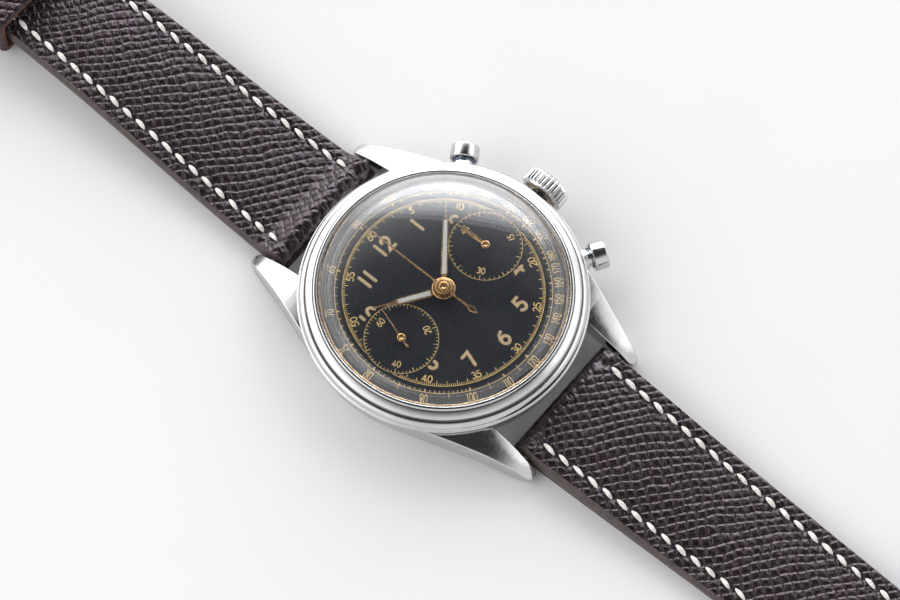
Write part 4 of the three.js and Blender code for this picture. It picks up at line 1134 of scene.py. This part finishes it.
def leather_piece(name, parts, body, node, flip=False):
    """Joins skins into one piece, with its leather, painted edge, lining and cut edge."""
    points, faces, indices, depth = [], [], [], []
    for part_points, part_faces, part_indices, part_depth in parts:
        start = len(points)
        points += part_points
        faces += [tuple(i + start for i in face) for face in part_faces]
        indices += part_indices
        depth += part_depth
    if flip:
        points = [(-x, -y, z) for x, y, z in points]
    sides = (EDGE_PAINT, LINING, CUT_EDGE)
    piece = finished(name, (points, faces), LEATHER, body, [node], 60, sides, indices)
    crease = piece.data.attributes.new("crease", "FLOAT", "POINT")
    crease.data.foreach_set("value", depth)


def lug_end_stations():
    """Stations round the strap's end at the spring bar, from its tip to the bar's middle."""
    return [SPRING_BAR_Y - LUG_END_RADIUS * math.cos(a) for a in np.linspace(0.12, math.pi / 2, 10)]


def lug_end_heights(y, z_top, z_bottom):
    """The round end that wraps the spring bar, eased into the flat strap."""
    middle = 2.15
    t = np.clip((y - (SPRING_BAR_Y - LUG_END_RADIUS)) / LUG_END_RADIUS, 0, 1)
    bulge = LUG_END_RADIUS * np.sqrt(np.clip(1 - (1 - t) ** 2, 0, 1))
    blend = smooth(np.clip((y - SPRING_BAR_Y) / 3.2, 0, 1))
    top = (middle + bulge) * (1 - blend) + z_top * blend
    bottom = (middle - bulge) * (1 - blend) + z_bottom * blend
    return top, bottom


def strap_12_line(y):
    """The upper face's height: the strap climbs from the lugs onto its turned-under buckle end."""
    t = np.clip((y - 24) / 38, 0, 1)
    return 2.54 * smooth(t) + 0.06 + STRAP_THICKNESS + 0.1 * np.clip(1 - t * 4, 0, 1)


def strap_12():
    """The short half: its end folds under, round the buckle's bar, with a gap for the tongue."""
    bar_y, bar_z = BUCKLE_BAR
    fold_start, fold_end, end_radius, gap = 77.0, 93.0, 2.5, 1.75

    def top(y):
        return lug_end_heights(y, strap_12_line(y), 0)[0]

    def bottom(y):
        return lug_end_heights(y, 0, strap_12_line(y) - STRAP_THICKNESS)[1]

    def fold_top(y):
        return bar_z - 0.4 + 0.05 * np.clip((y - 92.0) / 0.6, 0, 1)

    def fold_bottom(y):
        return fold_top(y) - 0.35 - 1.7 * smooth(np.clip((y - fold_start) / 3.0, 0, 1))

    def wrap(y):
        t = np.clip((y - bar_y) / end_radius, 0, 1)
        return end_radius * np.sqrt(np.clip(1 - t * t, 0.004, 1))

    def wrap_top(y):
        return bar_z + 0.05 + wrap(y)

    def wrap_bottom(y):
        return bar_z + 0.05 - wrap(y)

    def fold_left(y):
        return left_edge(y) + 0.05

    def fold_right(y):
        return right_edge(y) - 0.05

    stations = [*lug_end_stations(), *np.arange(SPRING_BAR_Y + STATION_PITCH, fold_end, STATION_PITCH), fold_end]
    fold_stations = np.arange(fold_start, fold_end + 0.01, 0.4)
    tip = [bar_y + end_radius * math.sin(a) for a in np.linspace(0, 1.5, 12)]
    ear_stations = [*np.arange(94.2, bar_y, 0.2), *tip]
    skins = [
        strap_skin(stations, top, bottom),
        strap_skin(fold_stations, fold_top, fold_bottom, fold_left, fold_right, 40, False, False),
        strap_skin(np.arange(fold_end, 94.3, 0.17), wrap_top, wrap_bottom),
        strap_skin(ear_stations, wrap_top, wrap_bottom, lambda y: gap, right_edge, 50, stitched=False),
        strap_skin(ear_stations, wrap_top, wrap_bottom, left_edge, lambda y: -gap, 50, stitched=False),
    ]
    leather_piece("strap_12_leather", skins, "strap_12", "strap_12")
    stitching("strap_12_stitches", top, bottom, 92.6, "strap_12")


def strap_6():
    """The long half: its point is drawn in, and its seven punched holes down its middle are dark dishes of painted
    shade that stand on the strap, not cut through it.
    """
    tip_length, hole_count, hole_pitch = 7.5, 7, 6.5

    def flat_top(y):
        rise = np.clip((48 - y) / 24, 0, 1)
        return STRAP_THICKNESS + 0.05 + 1.395 * smooth(rise)

    def top(y):
        return lug_end_heights(y, flat_top(y), 0)[0]

    def bottom(y):
        return lug_end_heights(y, 0, 0.05)[1]

    def half(y):
        t = np.clip((y - (TAIL_END - tip_length)) / 7.45, 0, 1)
        return right_edge(y) * np.sqrt(np.clip(1 - t**2.2, 0.002, 1))

    tip = [TAIL_END - tip_length + 7.46 * math.sin(a) for a in np.linspace(0, math.pi / 2, 48)]
    straight = np.arange(SPRING_BAR_Y + STATION_PITCH, TAIL_END - tip_length, STATION_PITCH)
    body = strap_skin([*lug_end_stations(), *straight, *tip], top, bottom, lambda y: -half(y), half)
    leather_piece("strap_6_leather", [body], "strap_6", "strap_6", flip=True)
    stitching("strap_6_stitches", top, bottom, TAIL_END - 5.5, "strap_6", half, flip=True)
    # Painted shade: each hole is a near-black dish laid on the strap to stand for the shade inside a punched hole.
    hole_shade_dish = lathe([(0.02, 2.2), (0.85, 2.2), (0.95, 2.5), (1.05, 2.78), (0.98, 2.82), (0.02, 2.6)], 28)
    holes = [moved(hole_shade_dish, 0, -(TAIL_END - 24 - i * hole_pitch), 0.06) for i in range(hole_count)]
    finished("strap_6_hole_shade", joined(*holes), RUBBER_AND_HOLE_SHADE, "strap_6")


def stitch_shell(length, width, height):
    """One stitch: a plump thread that dives at both ends."""
    rings, around = 11, 10
    points = []
    for i in range(rings):
        t = i / (rings - 1)
        s = math.sin(math.pi * min(max(t, 0.02), 0.98)) ** 0.45
        rise = height * math.sin(math.pi * t) ** 0.7 - height * 0.55
        for k in range(around):
            a = TAU * k / around
            points.append((width / 2 * s * math.cos(a), (t - 0.5) * length, rise + width * 0.42 * s * math.sin(a)))
    return points, tube_faces(rings, around)


def stitching(name, top, bottom, end, body, half=right_edge, flip=False):
    """Saddle stitches along both edges, each a little slanted, above and below."""
    start, pitch = 23.4, 2.36
    random = np.random.default_rng(7)
    shells = []
    count = int((end - start) / pitch)
    for side in (1, -1):
        for i in range(count + 1):
            y = start + i * pitch
            x = side * (float(half(np.array(y))) - STITCH_INSET)
            slope = float(top(np.array(y + 0.5))) - float(top(np.array(y - 0.5)))
            length = 2.0 if i in (0, count) else 1.86 + 0.1 * random.uniform(-1, 1)
            shell = stitch_shell(length, 0.62 + 0.05 * random.uniform(-1, 1), 0.3)
            slant = -0.2 + 0.05 * random.uniform(-1, 1)
            place = Matrix.Translation((x, y, float(top(np.array(y))) - 0.16))
            place = place @ Matrix.Rotation(math.atan(slope), 4, "X") @ Matrix.Rotation(slant, 4, "Z")
            shells.append(transformed(shell, place))
            under = float(bottom(np.array(y)))
            if under > 0.04 and y > 26:
                flat = Matrix.Translation((x, y, under + 0.14)) @ Matrix.Diagonal((1, 1, 0.4, 1))
                shells.append(transformed(stitch_shell(length, 0.5, 0.12), flat))
    points, faces = joined(*shells)
    if flip:
        points = [(-x, -y, z) for x, y, z in points]
    finished(name, (points, faces), THREAD, body, sharp=80)


def keeper(name, node, body, inner_half, inner_bottom, inner_top, thickness, length, y):
    """A leather loop round the strap: grained outside, smooth inside, with raw red-brown edges."""
    radius = 1.5
    half, low, high = inner_half + thickness, inner_bottom - thickness, inner_top + thickness
    outline = []
    corners = ((half - radius, low + radius, -0.5), (half - radius, high - radius, 0.0))
    corners += ((radius - half, high - radius, 0.5), (radius - half, low + radius, 1.0))
    for cx, cz, start in corners:
        outline += arc(radius, start * math.pi, (start + 0.5) * math.pi, 8, cx, cz)
    outline.append(outline[0])
    path = [Vector(p) for p in outline]
    dense = []
    for a, b in zip(path, path[1:]):
        count = max(1, int((b - a).length / 0.17))
        dense += [a.lerp(b, k / count) for k in range(count)]
    count = len(dense)
    across = np.linspace(-0.5, 0.5, 31)
    points, depth, faces, kinds = [], [], [], []
    walked = 0.0
    for i, here in enumerate(dense):
        heading = (dense[(i + 1) % count] - dense[i - 1]).normalized()
        normal = Vector((heading.y, -heading.x))
        walked += (here - dense[i - 1]).length if i else 0
        bulge = 0.12 * np.sin(np.pi * np.clip((here.x + half) / (2 * half), 0, 1)) if here.y > 4 else 0.0
        for a in across:
            rise, crease = grain(np.array([walked + 40.0]), np.array([a * length + y]))
            edge = 0.22 * max(0.0, abs(a) * 2 - 0.86) / 0.14
            out = here + normal * (0.6 * float(rise[0]) - 0.12 - edge)
            points.append((out.x, y + a * length, out.y + bulge))
            depth.append(float(crease[0]))
        inner = here - normal * thickness
        for a in (0.5, 0.0, -0.5):
            points.append((inner.x, y + a * length, inner.y + bulge))
            depth.append(0.0)
    wide = len(across) + 3
    for i in range(count):
        n = (i + 1) % count
        for j in range(wide):
            k = (j + 1) % wide
            faces.append((i * wide + j, i * wide + k, n * wide + k, n * wide + j))
            if j < len(across) - 1:
                kinds.append(GRAIN_SIDE)
            else:
                kinds.append(CUT_SIDE if j in (len(across) - 1, wide - 1) else LINED_SIDE)
    leather_piece(name, [(points, faces, kinds, depth)], body, node)


# ---- buckle ----
def buckle_turn():
    y, z = BUCKLE_BAR
    return Matrix.Translation((0, y, z)) @ Matrix.Rotation(-0.12, 4, "X")


def buckle():
    """A tang buckle: a rounded frame that tapers to its ends, and a rest for the tongue in its front bar."""
    plan = [
        *arc(2.2, 0, math.pi / 2, 8, 8, 9.6),
        *arc(2.2, math.pi / 2, math.pi, 8, -8, 9.6),
        (-10.2, -1.4),
        (-8.3, -1.4),
        *arc(1.0, math.pi, math.pi / 2, 6, -7.3, 8.4),
        *arc(1.0, math.pi / 2, 0, 6, 7.3, 8.4),
        (8.3, -1.4),
        (10.2, -1.4),
    ]
    sides = [
        *arc(1.4, math.pi / 2, 1.5 * math.pi, 12),
        *bezier((2.0, -1.36), (7.0, -0.8), (11.8, -1.1), 6),
        *bezier((11.8, 0.9), (7.0, 1.25), (2.0, 1.38), 6),
    ]
    slab, faces = prism(sides, -11.0, 11.0)
    side_view = [(z, x, y) for x, y, z in slab], faces
    body = combined(prism(plan, -2.0, 2.0), "INTERSECT", side_view)
    rest = [(x, y, z) for x, y, z in prism(rounded([(-0.95, 8), (0.95, 8), (0.95, 13), (-0.95, 13)], 0.1), 0.55, 3)[0]]
    cutter = rest, prism(rounded([(-0.95, 8), (0.95, 8), (0.95, 13), (-0.95, 13)], 0.1), 0.55, 3)[1]
    body = bevelled(body, 0.3, 3, 50)
    pin_hole = lathe([(0, -12), (0.46, -12), (0.46, 12), (0, 12)], 24)
    body = combined(body, "DIFFERENCE", cutter, transformed(pin_hole, Matrix.Rotation(math.pi / 2, 4, "Y")))
    shell = transformed(body, buckle_turn())
    finished("buckle_frame_steel", shell, STEEL, "buckle", ["buckle_frame"])


def buckle_tongue():
    eye = lathe(rounded([(0.79, -0.8), (1.35, -0.8), (1.35, 0.8), (0.79, 0.8)], 0.12), 48)
    eye = transformed(eye, Matrix.Rotation(math.pi / 2, 4, "Y"))
    sides = [
        (1.05, -0.3),
        *bezier((3.0, 0.0), (6.5, 0.72), (8.6, 0.76), 4),
        (11.6, 0.62),
        (12.0, 0.75),
        (12.0, 1.1),
        (11.7, 1.3),
        *bezier((8.4, 1.5), (5.0, 1.42), (0.95, 0.75), 6),
    ]
    slab, faces = prism(sides, -0.7, 0.7)
    prong = bevelled(([(z, x, y) for x, y, z in slab], faces), 0.14, 3)
    shell = transformed(joined(eye, prong), buckle_turn())
    finished("buckle_tongue_steel", shell, STEEL, "buckle_tongue", ["buckle_tongue"])


# ---- the CAD's own nodes that stay: the movement and small inner pieces ----
def dress_nodes():
    by_slot = {
        "polished_steel": STEEL,
        "satin_steel": SATIN,
        "spring_steel": SPRING,
        "nickel_plate": NICKEL,
        "brass": BRASS,
        "gilt": GILT,
        "aged_brass": TARNISH,
        "dial_lacquer": LACQUER,
        "acrylic": ACRYLIC,
        "rubber": RUBBER_AND_HOLE_SHADE,
        "leather": LEATHER,
    }
    slot_of = {part["node"]: part["material_slot"] for part in frame["record"]["subparts"]}
    for name, node in frame["nodes"].items():
        node.data.materials.clear()
        node.data.materials.append(by_slot[slot_of[name]])


# ---- studio ----
def point_at(thing, target):
    direction = Vector(target) - thing.location
    thing.rotation_euler = direction.to_track_quat("-Z", "Y").to_euler()


def softbox(name, location, size, watts, colour=(1, 1, 1)):
    lamp = bpy.data.lights.new(name, "AREA")
    lamp.shape = "RECTANGLE"
    lamp.size, lamp.size_y = size
    lamp.energy = watts
    lamp.color = colour
    thing = bpy.data.objects.new(name, lamp)
    scene.collection.objects.link(thing)
    thing.location = location
    point_at(thing, (0, 0, 0.005))
    return thing


def camera():
    up = CAMERA_BACK.cross(CAMERA_RIGHT)
    c, s = math.cos(CAMERA_ROLL), math.sin(CAMERA_ROLL)
    x_axis = CAMERA_RIGHT * c + up * s
    y_axis = up * c - CAMERA_RIGHT * s
    data = bpy.data.cameras.new("camera")
    data.lens = 175.1
    data.sensor_width = 36.0
    data.clip_start, data.clip_end = 0.05, 20.0
    thing = bpy.data.objects.new("camera", data)
    scene.collection.objects.link(thing)
    rotation = Matrix((x_axis, y_axis, CAMERA_BACK)).transposed()
    thing.matrix_world = Matrix.Translation(CAMERA_AIM + CAMERA_BACK * CAMERA_DISTANCE) @ rotation.to_4x4()
    scene.camera = thing


def studio():
    floor_points = [(-1500, -1500, 0), (1500, -1500, 0), (1500, 1500, 0), (-1500, 1500, 0)]
    mesh = bpy.data.meshes.new("floor")
    mesh.from_pydata((np.array(floor_points) * MM).tolist(), [], [(0, 1, 2, 3)])
    mesh.materials.append(floor_paint())
    floor = link("floor", mesh)
    behind = Vector((0.772, 0.635, 0.0))
    right = Vector((0.635, -0.772, 0.0))
    up = Vector((0, 0, 1))
    key_place = behind * 0.55 + right * 0.06 + up * 0.34
    softbox("key", key_place, (0.62, 0.5), KEY_WATTS).visible_glossy = False
    fill_place = behind * -0.3 - right * 0.5 + up * 0.42
    softbox("fill", fill_place, (0.7, 0.6), FILL_WATTS).visible_glossy = False
    for i in range(SHEEN_STEPS):
        size = 0.34 + 0.40 * i / (SHEEN_STEPS - 1)
        place = key_place * (1 + 0.004 * i)
        sheen = softbox(f"key_sheen_{i}", place, (size * 1.25, size * 0.8), SHEEN_WATTS, (0.93, 0.96, 1.0))
        sheen.data.energy *= size**2
        sheen.data.shape = "ELLIPSE"
        sheen.visible_diffuse = False
    scene.view_settings.view_transform = "Standard"
    room(behind, right, up)


def room(behind, right, up):
    """Pale walls that glow towards the key and the left, under a dark ceiling."""
    world = bpy.data.worlds.new("studio_world")
    scene.world = world
    world.use_nodes = True
    nodes, links = world.node_tree.nodes, world.node_tree.links
    coordinates = nodes.new("ShaderNodeTexCoord")

    def towards(direction, start, full, amount):
        """amount where a direction is within the full cosine of the given one, falling softly to 0 at the start."""
        dot = nodes.new("ShaderNodeVectorMath")
        dot.operation = "DOT_PRODUCT"
        dot.inputs[1].default_value = direction.normalized()
        links.new(coordinates.outputs["Generated"], dot.inputs[0])
        soft = nodes.new("ShaderNodeMapRange")
        soft.interpolation_type = "SMOOTHSTEP"
        soft.inputs["From Min"].default_value = start
        soft.inputs["From Max"].default_value = full
        soft.inputs["To Max"].default_value = amount
        links.new(dot.outputs["Value"], soft.inputs["Value"])
        return soft.outputs["Result"]

    def combine(operation, a, b):
        node = nodes.new("ShaderNodeMath")
        node.operation = operation
        for socket, value in zip(node.inputs, (a, b)):
            if isinstance(value, bpy.types.NodeSocket):
                links.new(value, socket)
            else:
                socket.default_value = value
        return node.outputs[0]

    walls = combine("ADD", towards(-right + behind * 0.35, -0.1, 0.85, 1.0), 0.86)
    walls = combine("ADD", walls, towards(behind - right * 0.1, 0.2, 0.9, 1.35))
    ceiling = towards(up, 0.93, 0.6, 1.0)
    level = combine("MULTIPLY", walls, ceiling)
    level = combine("ADD", level, towards(Vector((0.66, -0.5, 0.62)), 0.88, 0.96, 0.8))
    level = combine("ADD", level, 0.05)
    links.new(level, nodes["Background"].inputs["Strength"])
    nodes["Background"].inputs["Color"].default_value = (1, 1, 1, 1)


dress_nodes()
camera()
studio()
mid_case()
bezel()
crystal()
crystal_seat()
case_back()
crown()
pusher("upper", PUSHER_ANGLE)
pusher("lower", -PUSHER_ANGLE)
pusher_spring("upper", PUSHER_ANGLE)
pusher_spring("lower", -PUSHER_ANGLE)
dial_plate()
dial_print()
hour_numerals()
main_hands()
small_hands()
strap_12()
strap_6()
keeper("fixed_keeper_leather", "fixed_keeper", "strap_12", 7.95, 2.72, 8.2, 1.1, 5.0, 89.0)
keeper("free_keeper_leather", "free_keeper", "free_keeper", 8.25, 1.25, 7.0, 1.1, 5.5, 71.75)
buckle()
buckle_tongue()
